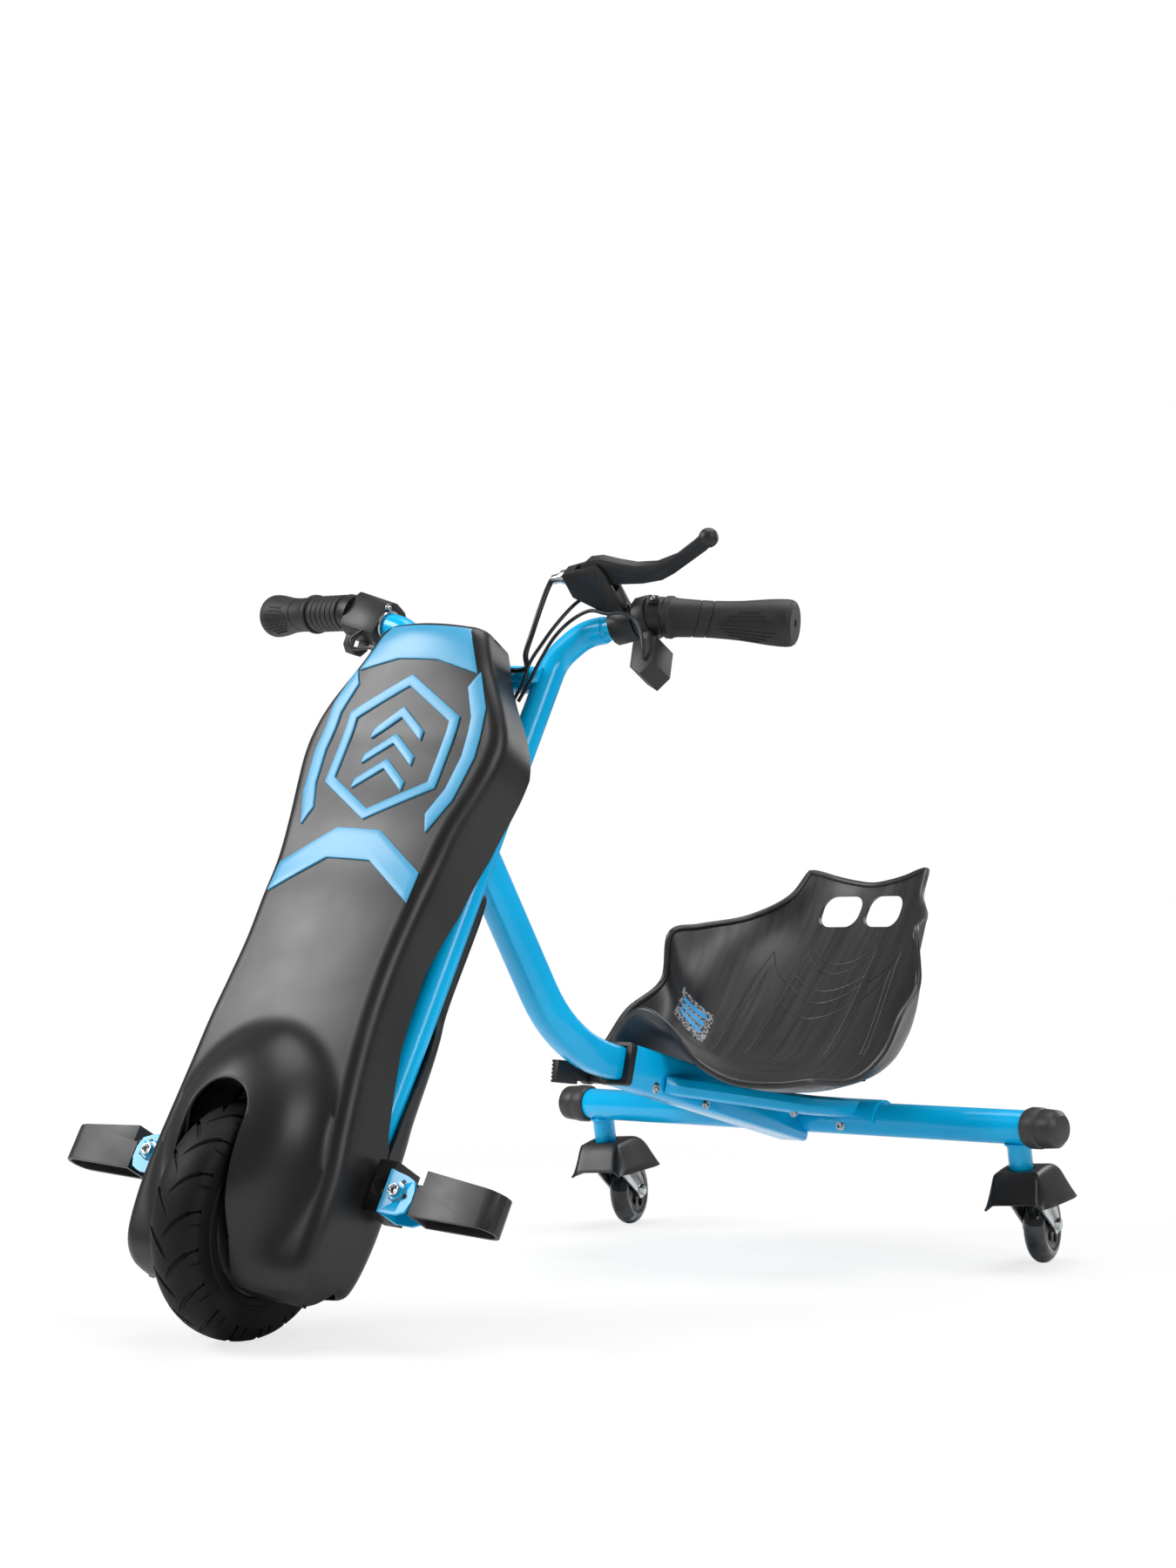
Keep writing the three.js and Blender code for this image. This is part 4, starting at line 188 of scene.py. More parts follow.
camera_data = bpy.data.cameras.new("view")
camera = bpy.data.objects.new("view", camera_data)
bpy.context.scene.collection.objects.link(camera)
camera_turn = camera_axes(camera_yaw, camera_pitch, camera_roll).to_4x4()
camera.matrix_world = Matrix.Translation(camera_spot) @ camera_turn
camera_data.sensor_width = sensor_mm
camera_data.lens = sensor_mm * focal_pixels / photo_height
camera_data.shift_x = -(middle_column - photo_width / 2) / photo_height
camera_data.shift_y = (middle_row - photo_height / 2) / photo_height
bpy.context.scene.camera = camera
bpy.context.scene.view_settings.view_transform = "Standard"
print("lens:", round(camera_data.lens, 2), "mm")

# %% [markdown]
# A material is a small graph of nodes. Colours are written as on the web, in sRGB hex, and one function
# turns them to the linear numbers that the renderer works in. Another adds a node with its settings and
# links.

# %% Colour and node helpers
noise_low, noise_high = 0.3, 0.7


def sheet_colour(hex_code):
    parts = [int(hex_code[i : i + 2], 16) / 255 for i in (1, 3, 5)]
    return [part / 12.92 if part <= 0.04045 else ((part + 0.055) / 1.055) ** 2.4 for part in parts] + [1]


def add_node(tree, kind, values=None, links=None, **settings):
    node = tree.nodes.new(kind)
    for setting, value in settings.items():
        setattr(node, setting, value)
    for socket, value in (values or {}).items():
        node.inputs[socket].default_value = value
    for socket, source in (links or {}).items():
        tree.links.new(source, node.inputs[socket])
    return node


def start_material(name, roughness, metallic=0, **sockets):
    material = bpy.data.materials.new(name)
    material.use_nodes = True
    tree = material.node_tree
    shader = tree.nodes["Principled BSDF"]
    shader.inputs["Roughness"].default_value = roughness
    shader.inputs["Metallic"].default_value = metallic
    for socket, value in sockets.items():
        shader.inputs[socket.replace("_", " ")].default_value = value
    coordinates = add_node(tree, "ShaderNodeTexCoord").outputs["Object"]
    return material, tree, shader, coordinates


def two_tone(tree, shader, driver, low, high, low_at=noise_low, high_at=noise_high):
    ramp = add_node(tree, "ShaderNodeValToRGB", links={"Fac": driver})
    for stop, position, colour in zip(ramp.color_ramp.elements, (low_at, high_at), (low, high)):
        stop.position = position
        stop.color = sheet_colour(colour)
    tree.links.new(ramp.outputs["Color"], shader.inputs["Base Color"])


def uneven_gloss(tree, shader, driver, low, high):
    ends = {"From Min": noise_low, "From Max": noise_high, "To Min": low, "To Max": high}
    spread = add_node(tree, "ShaderNodeMapRange", ends, {"Value": driver})
    tree.links.new(spread.outputs["Result"], shader.inputs["Roughness"])


def relief(tree, shader, height, distance, strength):
    bump = add_node(tree, "ShaderNodeBump", {"Strength": strength, "Distance": distance}, {"Height": height})
    tree.links.new(bump.outputs["Normal"], shader.inputs["Normal"])
    return bump


print("blue as the renderer sees it:", [round(v, 3) for v in sheet_colour("#08a4de")])

# %% [markdown]
# The floor is plain and pale. Seen straight on it is nearly white, as in the photograph, but it keeps the
# soft shadow under the wheels. The world is white to the camera and through clear plastic, and a calm grey
# light to everything else. Large soft lamps stand in for studio panels.

# %% Floor
glow_near, glow_far, least_glow = 0.6, 1.6, 0.76


def floor_material():
    material = bpy.data.materials.new("studio_paper")
    material.use_nodes = True
    tree = material.node_tree
    tree.nodes.clear()
    paper = add_node(tree, "ShaderNodeBsdfDiffuse", {"Color": sheet_colour("#f4f4f4")})
    glow = add_node(tree, "ShaderNodeEmission", {"Color": (1, 1, 1, 1), "Strength": 1.0})
    path = add_node(tree, "ShaderNodeLightPath")
    spot = add_node(tree, "ShaderNodeTexCoord").outputs["Object"]
    away = add_node(tree, "ShaderNodeVectorMath", links={0: spot}, operation="LENGTH")
    ends = {"From Min": glow_near, "From Max": glow_far, "To Min": least_glow, "To Max": 1.0}
    lift = add_node(tree, "ShaderNodeMapRange", ends, {"Value": away.outputs["Value"]})
    both = {0: path.outputs["Is Camera Ray"], 1: lift.outputs[0]}
    share = add_node(tree, "ShaderNodeMath", links=both, operation="MULTIPLY")
    shades = {0: share.outputs[0], 1: paper.outputs[0], 2: glow.outputs[0]}
    mix = add_node(tree, "ShaderNodeMixShader", links=shades)
    add_node(tree, "ShaderNodeOutputMaterial", links={"Surface": mix.outputs[0]})
    return material


bpy.ops.mesh.primitive_plane_add(size=30, location=(0, 0, 0))
floor = just_added("studio_floor")
floor.data.materials.append(floor_material())
print("floor:", floor.name)

# %% World and lamps
calm_strength = 0.16
world = bpy.data.worlds.new("studio")
bpy.context.scene.world = world
world.use_nodes = True
sky = world.node_tree
sky.nodes.clear()
rays = add_node(sky, "ShaderNodeLightPath").outputs
clear_rays = {0: rays["Is Camera Ray"], 1: rays["Is Transmission Ray"]}
seen = add_node(sky, "ShaderNodeMath", links=clear_rays, operation="MAXIMUM")
calm = add_node(sky, "ShaderNodeBackground", {"Color": (1, 1, 1, 1), "Strength": calm_strength})
white = add_node(sky, "ShaderNodeBackground", {"Color": (1, 1, 1, 1), "Strength": 1.0})
skies = {0: seen.outputs[0], 1: calm.outputs[0], 2: white.outputs[0]}
chosen = add_node(sky, "ShaderNodeMixShader", links=skies)
add_node(sky, "ShaderNodeOutputWorld", links={"Surface": chosen.outputs[0]})

# Each lamp's place, the spot it aims at and its size are in metres, its power in watts.
lamps = {
    "window_left": ((-1.3, -1.75, 1.85), (0, -0.45, 0.42), (1.3, 1.1), 58),
    "window_right": ((2.6, -0.4, 1.7), (0, 0, 0.3), (0.8, 1.6), 30),
    "ceiling": ((0.2, 0.4, 2.6), (0, 0, 0), (1.8, 1.8), 42),
    "rim_back": ((0.6, 2.4, 1.4), (0, 0, 0.3), (1.6, 1.0), 20),
}
for name, (spot, aim, size, watts) in lamps.items():
    lamp_data = bpy.data.lights.new(name, "AREA")
    lamp_data.shape = "RECTANGLE"
    lamp_data.size, lamp_data.size_y = size
    lamp_data.energy = watts
    lamp = bpy.data.objects.new(name, lamp_data)
    bpy.context.scene.collection.objects.link(lamp)
    direction = Vector(aim) - Vector(spot)
    lamp.matrix_world = Matrix.Translation(spot) @ direction.to_track_quat("-Z", "Y").to_matrix().to_4x4()
print("lamps:", len(lamps))

# %% [markdown]
# The shroud, fenders, pegs and controls are moulded ABS and nylon. The mould was spark-eroded, which leaves a
# fine even grain that breaks the highlight up, so black plastic looks dark grey. The real grain is under half
# a millimetre. It is drawn about a millimetre wide, so that it shows. Soft patches some 56 mm wide make the
# colour and the gloss a little uneven, as on a real moulding.


# %% Moulded plastics
def moulded_plastic(name, low, high, grain_mm, gloss, depth_mm=0.05, shine=0.4):
    material, tree, shader, coordinates = start_material(name, 0.48, Specular_IOR_Level=shine)
    patches_per_metre, grains_per_metre = 18, 1 / (grain_mm * mm)
    size = {"Scale": patches_per_metre, "Detail": 3}
    clouds = add_node(tree, "ShaderNodeTexNoise", size, {"Vector": coordinates})
    two_tone(tree, shader, clouds.outputs["Fac"], low, high)
    uneven_gloss(tree, shader, clouds.outputs["Fac"], *gloss)
    size = {"Scale": grains_per_metre, "Detail": 2}
    grain = add_node(tree, "ShaderNodeTexNoise", size, {"Vector": coordinates})
    relief(tree, shader, grain.outputs["Fac"], depth_mm * mm, 0.5)
    return material


shroud_abs = moulded_plastic("shroud_moulded_abs", "#151516", "#1b1b1c", 1.1, (0.35, 0.42))
control_nylon = moulded_plastic("control_moulded_nylon", "#161617", "#1f1f20", 0.9, (0.4, 0.55), 0.06)
peg_nylon = moulded_plastic("peg_moulded_nylon", "#19191a", "#232324", 1.0, (0.36, 0.5))
fender_abs = moulded_plastic("fender_moulded_abs", "#141415", "#1b1b1c", 1.0, (0.3, 0.4), 0.03)
wheel_nylon = moulded_plastic("wheel_moulded_nylon", "#171718", "#202021", 1.0, (0.3, 0.45), 0.03)
battery_wrap = moulded_plastic("battery_shrink_wrap", "#333841", "#414650", 2.0, (0.5, 0.65), 0.08)
trim_abs = moulded_plastic("trim_painted_abs", "#4098c2", "#4ba0c9", 1.4, (0.3, 0.38), 0.02)
print("plastics:", shroud_abs.name, control_nylon.name, peg_nylon.name, fender_abs.name)

# %% [markdown]
# The frame is steel tube with a gloss powder coat. Powder flows as it melts and sets with a faint orange
# peel, a ripple about 2 mm across, under a clear even shine.


# %% Powder coats
def powder_coat(name, low, high, coat=0.25, roughness=0.24):
    shine = {"Coat_Weight": coat, "Coat_Roughness": 0.06, "Specular_IOR_Level": 0.25}
    material, tree, shader, coordinates = start_material(name, roughness, **shine)
    patches_per_metre, peels_per_metre = 9, 1 / (2.4 * mm)
    size = {"Scale": patches_per_metre, "Detail": 2}
    clouds = add_node(tree, "ShaderNodeTexNoise", size, {"Vector": coordinates})
    two_tone(tree, shader, clouds.outputs["Fac"], low, high)
    size = {"Scale": peels_per_metre, "Detail": 1}
    peel = add_node(tree, "ShaderNodeTexNoise", size, {"Vector": coordinates})
    relief(tree, shader, peel.outputs["Fac"], 0.03 * mm, 0.35)
    return material


frame_blue = powder_coat("frame_blue_powder_coat", "#00a8e0", "#00b4ec")
carrier_black = powder_coat("carrier_black_powder_coat", "#151516", "#1e1e1f", 0.3, 0.4)
print("powder coats:", frame_blue.name, carrier_black.name)

# %% [markdown]
# Zinc-plated stampings are bright and a little yellow-blue in patches, with fine scratches from the press.
# Bolts are the same metal, turned. A metal keeps its default IOR; only its colour and roughness change.


# %% Metals
def plated_steel(name, low, high, roughness=(0.2, 0.38), scratch_mm=0.7):
    material, tree, shader, coordinates = start_material(name, 0.3, 1)
    patches_per_metre, scratches_per_metre = 70, 1 / (scratch_mm * mm)
    size = {"Scale": patches_per_metre, "Detail": 4}
    patches = add_node(tree, "ShaderNodeTexNoise", size, {"Vector": coordinates})
    two_tone(tree, shader, patches.outputs["Fac"], low, high)
    uneven_gloss(tree, shader, patches.outputs["Fac"], *roughness)
    stretched = add_node(tree, "ShaderNodeMapping", {"Scale": (1, 1, 0.08)}, {"Vector": coordinates})
    size = {"Scale": scratches_per_metre, "Detail": 3}
    scratches = add_node(tree, "ShaderNodeTexNoise", size, {"Vector": stretched.outputs[0]})
    relief(tree, shader, scratches.outputs["Fac"], 0.02 * mm, 0.4)
    return material


fork_zinc = plated_steel("fork_zinc_plated_steel", "#a9afb2", "#d6d9d8")
bolt_steel = plated_steel("bolt_zinc_plated_steel", "#9fa3a6", "#c9cccd", (0.22, 0.34), 0.5)
machined_steel = plated_steel("machined_steel", "#85888b", "#a3a6a9", (0.3, 0.45), 0.5)
chain_steel = plated_steel("chain_oiled_steel", "#5c5b59", "#7d7c79", (0.3, 0.5), 0.6)
motor_aluminium = plated_steel("motor_cast_aluminium", "#8c8f92", "#a9acaf", (0.4, 0.6), 1.2)
print("metals:", fork_zinc.name, bolt_steel.name, machined_steel.name)

# %% [markdown]
# Three rubbers: the tyre is matt carbon-black rubber, the grips are softer thermoplastic rubber with a slight
# sheen, and the axle caps are moulded rubber. The cable jackets are smooth PVC. The caster tyres are smoked
# polyurethane, clear enough that the hub shows through.

# %% Rubbers and polyurethane
tyre_rubber = moulded_plastic("tyre_carbon_rubber", "#0a0a0b", "#101011", 1.6, (0.55, 0.7), 0.1, 0.2)
grip_rubber = moulded_plastic("grip_thermoplastic_rubber", "#1a1a1c", "#242426", 0.8, (0.5, 0.64))
cap_rubber = moulded_plastic("cap_moulded_rubber", "#2d2c2c", "#383736", 0.9, (0.36, 0.5), 0.04)
jacket_pvc = moulded_plastic("cable_jacket_pvc", "#0f1014", "#1a1b20", 1.5, (0.26, 0.36), 0.02)

clear = {"Transmission_Weight": 0.72, "IOR": 1.49, "Specular_IOR_Level": 0.5}
caster_urethane, urethane_tree, urethane_shader, coordinates = start_material(
    "caster_smoked_polyurethane", 0.08, **clear
)
hazes_per_metre = 60
size = {"Scale": hazes_per_metre, "Detail": 2}
haze = add_node(urethane_tree, "ShaderNodeTexNoise", size, {"Vector": coordinates}).outputs["Fac"]
two_tone(urethane_tree, urethane_shader, haze, "#3c3e42", "#55585c")
relief(urethane_tree, urethane_shader, haze, 0.1 * mm, 0.2)
print("materials so far:", len(bpy.data.materials))

# %% [markdown]
# The bucket seat is blow-moulded polyethylene. Its face is smoother than the shroud's, with long faint
# streaks where the hot plastic was drawn down the mould, and a low wide ripple in the highlight.

# %% Seat plastic
streaks_per_metre, ripples_per_metre = 160, 40
seat_pe, seat_tree, seat_shader, coordinates = start_material("seat_blow_moulded_polyethylene", 0.34)
drawn = add_node(seat_tree, "ShaderNodeMapping", {"Scale": (1, 0.06, 0.06)}, {"Vector": coordinates})
size = {"Scale": streaks_per_metre, "Detail": 4}
streaks = add_node(seat_tree, "ShaderNodeTexNoise", size, {"Vector": drawn.outputs[0]}).outputs["Fac"]
two_tone(seat_tree, seat_shader, streaks, "#242425", "#2f2f30")
uneven_gloss(seat_tree, seat_shader, streaks, 0.3, 0.42)
size = {"Scale": ripples_per_metre, "Detail": 2}
ripple = add_node(seat_tree, "ShaderNodeTexNoise", size, {"Vector": coordinates})
ripple_bump = relief(seat_tree, seat_shader, ripple.outputs["Fac"], 0.2 * mm, 0.2)
streak_bump = relief(seat_tree, seat_shader, streaks, 0.08 * mm, 0.25)
seat_tree.links.new(ripple_bump.outputs["Normal"], streak_bump.inputs["Normal"])
print("seat plastic streaks: about", round(1000 / streaks_per_metre, 1), "mm apart")

# %% [markdown]
# A CAD node that keeps its shape gets its finish here: its own, or else that of its material slot.

# %% Finish of every CAD node
finish_of_slot = {
    "blue_paint": frame_blue, "blue_trim": trim_abs, "black_plastic": control_nylon,
    "black_paint": carrier_black, "black_rubber": grip_rubber, "tyre_rubber": tyre_rubber,
    "smoked_wheel": caster_urethane, "zinc": fork_zinc, "steel": machined_steel,
    "battery_case": battery_wrap,
}
own_finish = {
    "front_shell": shroud_abs, "rear_shell": shroud_abs, "seat_shell": seat_pe, "front_rim": wheel_nylon,
    "drive_chain": chain_steel, "drive_motor": motor_aluminium, "controller_box": motor_aluminium,
    "brake_cable": jacket_pvc, "perch_wire": jacket_pvc, "switch_wire": jacket_pvc,
    "throttle_wire": jacket_pvc,
}
for label in ("left", "right"):
    own_finish["caster_fender_" + label] = fender_abs
    own_finish["caster_hub_" + label] = wheel_nylon
    own_finish["axle_cap_" + label] = cap_rubber
    own_finish["foot_peg_" + label] = peg_nylon
slot_of = {entry["node"]: entry["material_slot"] for entry in frame["record"]["subparts"]}
body_of = {node: name for name, nodes in frame["record"]["behaviour"]["bodies"].items() for node in nodes}


def finish_for(node):
    return own_finish.get(node, finish_of_slot[slot_of[node]])


for node, piece in frame["nodes"].items():
    piece.data.materials.clear()
    piece.data.materials.append(finish_for(node))
print("finished CAD nodes:", len(frame["nodes"]))

# %% [markdown]
# A new piece takes a node's body and finish, and may stand in for that node. The nodes with moulded or
# pressed edges are copied, merged and given a small rounded edge, because a real edge is never razor sharp
# and catches a thin highlight. A radius of 0 leaves the edges and only merges and smooths the copy.


# %% Standing in for a node, and softened copies
def stands_for(piece, node, material=None, replaced=True):
    piece.data.materials.clear()
    piece.data.materials.append(material or finish_for(node))
    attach(piece, body_of[node])
    if replaced:
        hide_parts(node)
    return piece


def mount(piece, axes, node, material=None, replaced=False):
    return stands_for(place(piece, axes), node, material, replaced)


def softened(node, width_mm, edge_degrees=38):
    piece = bpy.data.objects.new(node + "_softened", frame["nodes"][node].data.copy())
    bpy.context.scene.collection.objects.link(piece)
    weld(piece, outward=False)
    edit_all(piece)
    bpy.ops.mesh.dissolve_limited(angle_limit=math.radians(0.8))
    leave_edit()
    if width_mm:
        round_edges(piece, width_mm, edge_degrees, use_clamp_overlap=True, miter_outer="MITER_ARC")
    smooth(piece, edge_degrees)
    return stands_for(piece, node)


edge_radius_mm = {
    "neck": 0.8, "box_rail": 0.8, "side_brace_left": 0.5, "side_brace_right": 0.5, "rail_collar": 0.6,
    "seat_carrier": 0.6, "peg_clamp_left": 0.9, "peg_clamp_right": 0.9, "peg_bracket_left": 0,
    "peg_bracket_right": 0, "throttle_housing": 1.0, "brake_perch": 0.8, "switch_box": 1.2,
    "quick_release_lever": 0.5, "caster_fork_left": 0.3, "caster_fork_right": 0.3, "crown_upper": 0,
    "crown_lower": 0, "brake_lever": 2.6, "caster_hub_left": 0.5, "caster_hub_right": 0.5,
    "axle_cap_left": 0.8, "axle_cap_right": 0.8, "front_rim": 0.6, "battery_pack": 1.5,
    "controller_box": 1.0, "drive_motor": 1.0, "steering_pin": 0.4, "axle_tube": 0.3, "switch_button": 0.8,
}
peg_radius_mm, peg_edge_degrees = 1.2, 24
for label in ("left", "right"):
    softened("foot_peg_" + label, peg_radius_mm, peg_edge_degrees)
for node, radius_mm in edge_radius_mm.items():
    made = softened(node, radius_mm)
print("softened copies:", len(edge_radius_mm), "last has", len(made.data.polygons), "faces")

# %% [markdown]
# Moulded shells are easiest as a net: a flat grid whose rows are laid on the rows of points that describe the
# form. The tables give each row's height, half width and depth as shares of the shroud's own sizes, and a
# smooth curve through them gives as many rows as the light needs.


# %% A grid laid on rows of points
def laid_grid(name, rows):
    select_none()
    bpy.ops.mesh.primitive_grid_add(x_subdivisions=len(rows[0]) - 1, y_subdivisions=len(rows) - 1, size=1)
    piece = just_added(name)
    for vertex, point in zip(piece.data.vertices, (point for row in rows for point in row)):
        vertex.co = point
    return piece


def curve_at(a, b, c, d, t):
    line = 2 * b + (c - a) * t
    return 0.5 * (line + (2 * a - 5 * b + 4 * c - d) * t**2 + (3 * b - a - 3 * c + d) * t**3)


def smooth_rows(table, steps):
    made = []
    for i in range(len(table) - 1):
        around = [table[max(i - 1, 0)], table[i], table[i + 1], table[min(i + 2, len(table) - 1)]]
        for step in range(steps):
            made.append([curve_at(*four, step / steps) for four in zip(*around)])
    return made + [list(table[-1])]


def read_off(table, at, column):
    for low, high in zip(table, table[1:]):
        if at <= high[0]:
            share = max(0.0, (at - low[0]) / (high[0] - low[0]))
            return low[column] + share * (high[column] - low[column])
    return table[-1][column]


trial = smooth_rows([[0, 0], [1, 1], [2, 0]], 4)
print("a smooth row table:", [[round(v, 2) for v in row] for row in trial[:4]])

# %% [markdown]
# The shroud's sizes in metres, and its two tables. The front shell's face also swells over the wheel: a dome
# that runs into the face in a soft hollow, made by blending the two depths.

# %% Shroud tables
shroud_height, shroud_half, shroud_depth, shell_wall = 620 * mm, 111 * mm, 72 * mm, 3 * mm
corner_radius, crown_height = 15 * mm, 5 * mm
dome_half, dome_middle, dome_rise = 72 * mm, 58 * mm, 95 * mm
dome_base, dome_swell, dome_blend, dome_rim, dome_slope = 64 * mm, 50 * mm, 22 * mm, 0.9, 2.06
front_rows = [
    [-0.1, 0.76, 0.42], [-0.089, 0.855, 0.62], [-0.06, 0.915, 0.76], [0, 0.941, 0.826],
    [0.0645, 0.936, 0.853], [0.129, 0.893, 0.908], [0.1935, 0.853, 0.957], [0.258, 0.823, 0.993],
    [0.3226, 0.797, 0.992], [0.387, 0.787, 0.976], [0.4516, 0.803, 0.963], [0.516, 0.823, 0.932],
    [0.58, 0.867, 0.944], [0.645, 0.95, 0.921], [0.69, 0.993, 0.918], [0.73, 0.99, 0.925],
    [0.774, 0.894, 0.99], [0.839, 0.673, 1.082], [0.884, 0.55, 1.139], [0.9, 0.5, 1.09],
]
front_edge = [
    [-0.12, -0.35], [-0.068, -0.056], [-0.02, 0.02], [0.14, 0.02], [0.157, -0.07], [0.271, -0.29],
    [0.387, -0.305], [0.45, -0.21], [0.49, -0.125], [0.54, -0.097], [0.583, -0.06], [0.62, -0.09],
    [0.71, -0.125], [0.806, -0.403], [0.92, -0.48],
]
rear_rows = [
    [-0.072, 0.8, 0.24], [-0.055, 0.87, 0.4], [0.02, 0.895, 0.48], [0.14, 0.894, 0.44], [0.195, 0.873, 0.43],
    [0.274, 0.855, 0.44], [0.323, 0.795, 0.52], [0.38, 0.735, 0.57], [0.53, 0.73, 0.58], [0.556, 0.69, 0.54],
    [0.565, 0.62, 0.47],
]
rear_edge = [
    [-0.1, 0.06], [-0.068, 0.04], [-0.02, 0.04], [0.14, 0.04], [0.195, 0.09], [0.274, 0.17], [0.323, 0.26],
    [0.6, 0.28],
]


def blend_deeper(first, second, reach):
    near = max(reach - abs(first - second), 0) / reach
    return max(first, second) + near * near * reach / 4


def crowned(depth_share, x, middle):
    return depth_share * shroud_depth + crown_height * (1 - (x / middle) ** 2)


def dome_depth(x, z):
    radius = math.hypot(x / dome_half, (z - dome_middle) / dome_rise)
    round_part = math.sqrt(1 - min(radius, dome_rim) ** 2)
    return dome_base + dome_swell * (round_part - dome_slope * max(radius - dome_rim, 0))


def face_depth(x, z):
    middle = read_off(front_rows, z / shroud_height, 1) * shroud_half - corner_radius
    flat = crowned(read_off(front_rows, z / shroud_height, 2), x, middle)
    return blend_deeper(flat, dome_depth(x, z), dome_blend)


print("face stands", round(1000 * face_depth(0, 0.4), 1), "mm ahead of the steering axis")

# %% [markdown]
# Each row of a shell runs from one edge back along the side, round the corner, across the face and back to
# the other edge. Three short rows at the top and at the bottom turn the ends in. The net gets its wall by a
# Solidify modifier. Corners of the inner wall that would poke out of the skin are held inside its reach.

# %% The shells as grids
rows_between, face_steps, corner_steps, side_steps = 8, 76, 8, 5
turn_in_shares = (0.12, 0.5, 1)


def shell_grid(name, rows, edge, facing, dome):
    grid = []
    for height_share, width_share, depth_share in smooth_rows(rows, rows_between):
        z = height_share * shroud_height
        half = width_share * shroud_half
        middle = half - corner_radius
        back = read_off(edge, height_share, 1) * shroud_depth
        start = facing * (depth_share * shroud_depth - corner_radius)
        side = [(half, back + (start - back) * (step / side_steps)) for step in range(side_steps)]
        for step in range(corner_steps + 1):
            angle = math.pi / 2 * step / corner_steps
            depth = depth_share * shroud_depth - corner_radius * (1 - math.sin(angle))
            side.append((middle + corner_radius * math.cos(angle), facing * depth))
        row = [Vector((x, y, z)) for x, y in side]
        for step in range(1, face_steps):
            x = middle * (1 - 2 * step / face_steps)
            depth = crowned(depth_share, x, middle)
            if dome:
                depth = blend_deeper(depth, dome_depth(x, z), dome_blend)
            row.append(Vector((x, facing * depth, z)))
        grid.append(row + [Vector((-x, y, z)) for x, y in reversed(side)])
    for end, edge_at in ((0, rows[0][0]), (-1, rows[-1][0])):
        back = read_off(edge, edge_at, 1) * shroud_depth
        rim_row = grid[end]
        for share in turn_in_shares:
            drawn = [Vector((p.x, back + (p.y - back) * (1 - share), p.z)) for p in rim_row]
            grid = [drawn] + grid if end == 0 else grid + [drawn]
    return laid_grid(name, grid)


def wall_inward(skin):
    reach = [[vertex.co[axis] for vertex in skin.data.vertices] for axis in range(3)]
    apply_modifier(skin, "SOLIDIFY", thickness=shell_wall, offset=-1)
    low, high = [min(values) for values in reach], [max(values) for values in reach]
    for vertex in skin.data.vertices:
        vertex.co = [min(max(value, low[i]), high[i]) for i, value in enumerate(vertex.co)]


def shell_skin(name, rows, edge, facing, dome):
    skin = weld(shell_grid(name, rows, edge, facing, dome), 0.05 * mm, outward=False)
    wall_inward(face_towards(skin, 1, facing))
    return skin


def finished_shell(skin, node):
    return mount(smooth(weld(skin), 40), steered, node, replaced=True)


front_skin = shell_skin("front_shell_moulding", front_rows, front_edge, -1, True)
print("front skin:", len(front_skin.data.polygons), "faces")

# %% [markdown]
# Openings are cut with a Boolean modifier. Its tool is a flat outline, extruded from front to back. The slot
# over the front wheel has straight sides and a round top.

# %% Cutting tools and the front shell's slot
slot_top, slot_half, slot_floor, arch_steps = 62 * mm, 31 * mm, -0.09, 24
slot_reach, slot_place = 0.3, (0, -0.27, 0)


def cutter(name, outline, depth):
    select_none()
    bpy.ops.mesh.primitive_circle_add(vertices=len(outline), fill_type="NGON", radius=1)
    piece = just_added(name)
    for vertex, (x, z) in zip(piece.data.vertices, outline):
        vertex.co = (x, -depth, z)
    edit_all(piece)
    bpy.ops.mesh.extrude_region_move(TRANSFORM_OT_translate={"value": (0, 2 * depth, 0)})
    bpy.ops.mesh.select_all(action="SELECT")
    bpy.ops.mesh.normals_make_consistent(inside=False)
    leave_edit()
    return piece


def carve(piece, tool, folded=False):
    apply_modifier(piece, "BOOLEAN", object=tool, operation="DIFFERENCE", solver="EXACT", use_self=folded)
    bpy.data.objects.remove(tool)


def slot_outline(grow, floor):
    half = slot_half + grow
    arch = [math.pi * i / arch_steps for i in range(arch_steps + 1)]
    ring = [(half * math.cos(a), slot_top + half * math.sin(a)) for a in arch]
    return [(half, floor)] + ring + [(-half, floor)]


slot_tool = cutter("slot_tool", slot_outline(0, slot_floor), slot_reach)
place(slot_tool, Matrix.Translation(slot_place))
carve(front_skin, slot_tool, folded=True)
finished_shell(front_skin, "front_shell")
print("front shell:", len(front_skin.data.polygons), "faces")

# %% Rear shell
arch_top, arch_floor, arch_reach = 0.105, -0.1, 0.2
tube_across, tube_back, tube_room, cut_height, cut_length = 80, 4, 13, 0.3, 1.2
rear_skin = shell_skin("rear_shell_moulding", rear_rows, rear_edge, 1, False)
arch_corners = [(-slot_half, arch_floor), (slot_half, arch_floor)]
arch_corners += [(slot_half, arch_top), (-slot_half, arch_top)]
carve(rear_skin, cutter("arch_tool", arch_corners, arch_reach), folded=True)
for side, label in both_sides:
    select_none()
    spot = (side * tube_across * mm, tube_back * mm, cut_height)
    bpy.ops.mesh.primitive_cylinder_add(vertices=48, radius=tube_room * mm, depth=cut_length, location=spot)
    bpy.ops.object.transform_apply(location=True, rotation=True, scale=True)
    carve(rear_skin, just_added("tube_tool_" + label))
finished_shell(rear_skin, "rear_shell")
print("rear shell:", len(rear_skin.data.polygons), "faces")

# %% [markdown]
# The raised trim is a separate blue moulding let into the face. Each bar is a ribbon between two lines on
# the face, given a thickness and a rounded edge. The pattern is a plain one of chevrons and bars.

# %% Trim ribbons that follow the face
trim_rise, trim_sunk, ribbon_steps, low_bar_height = 1.7, 0.6, 8, 30


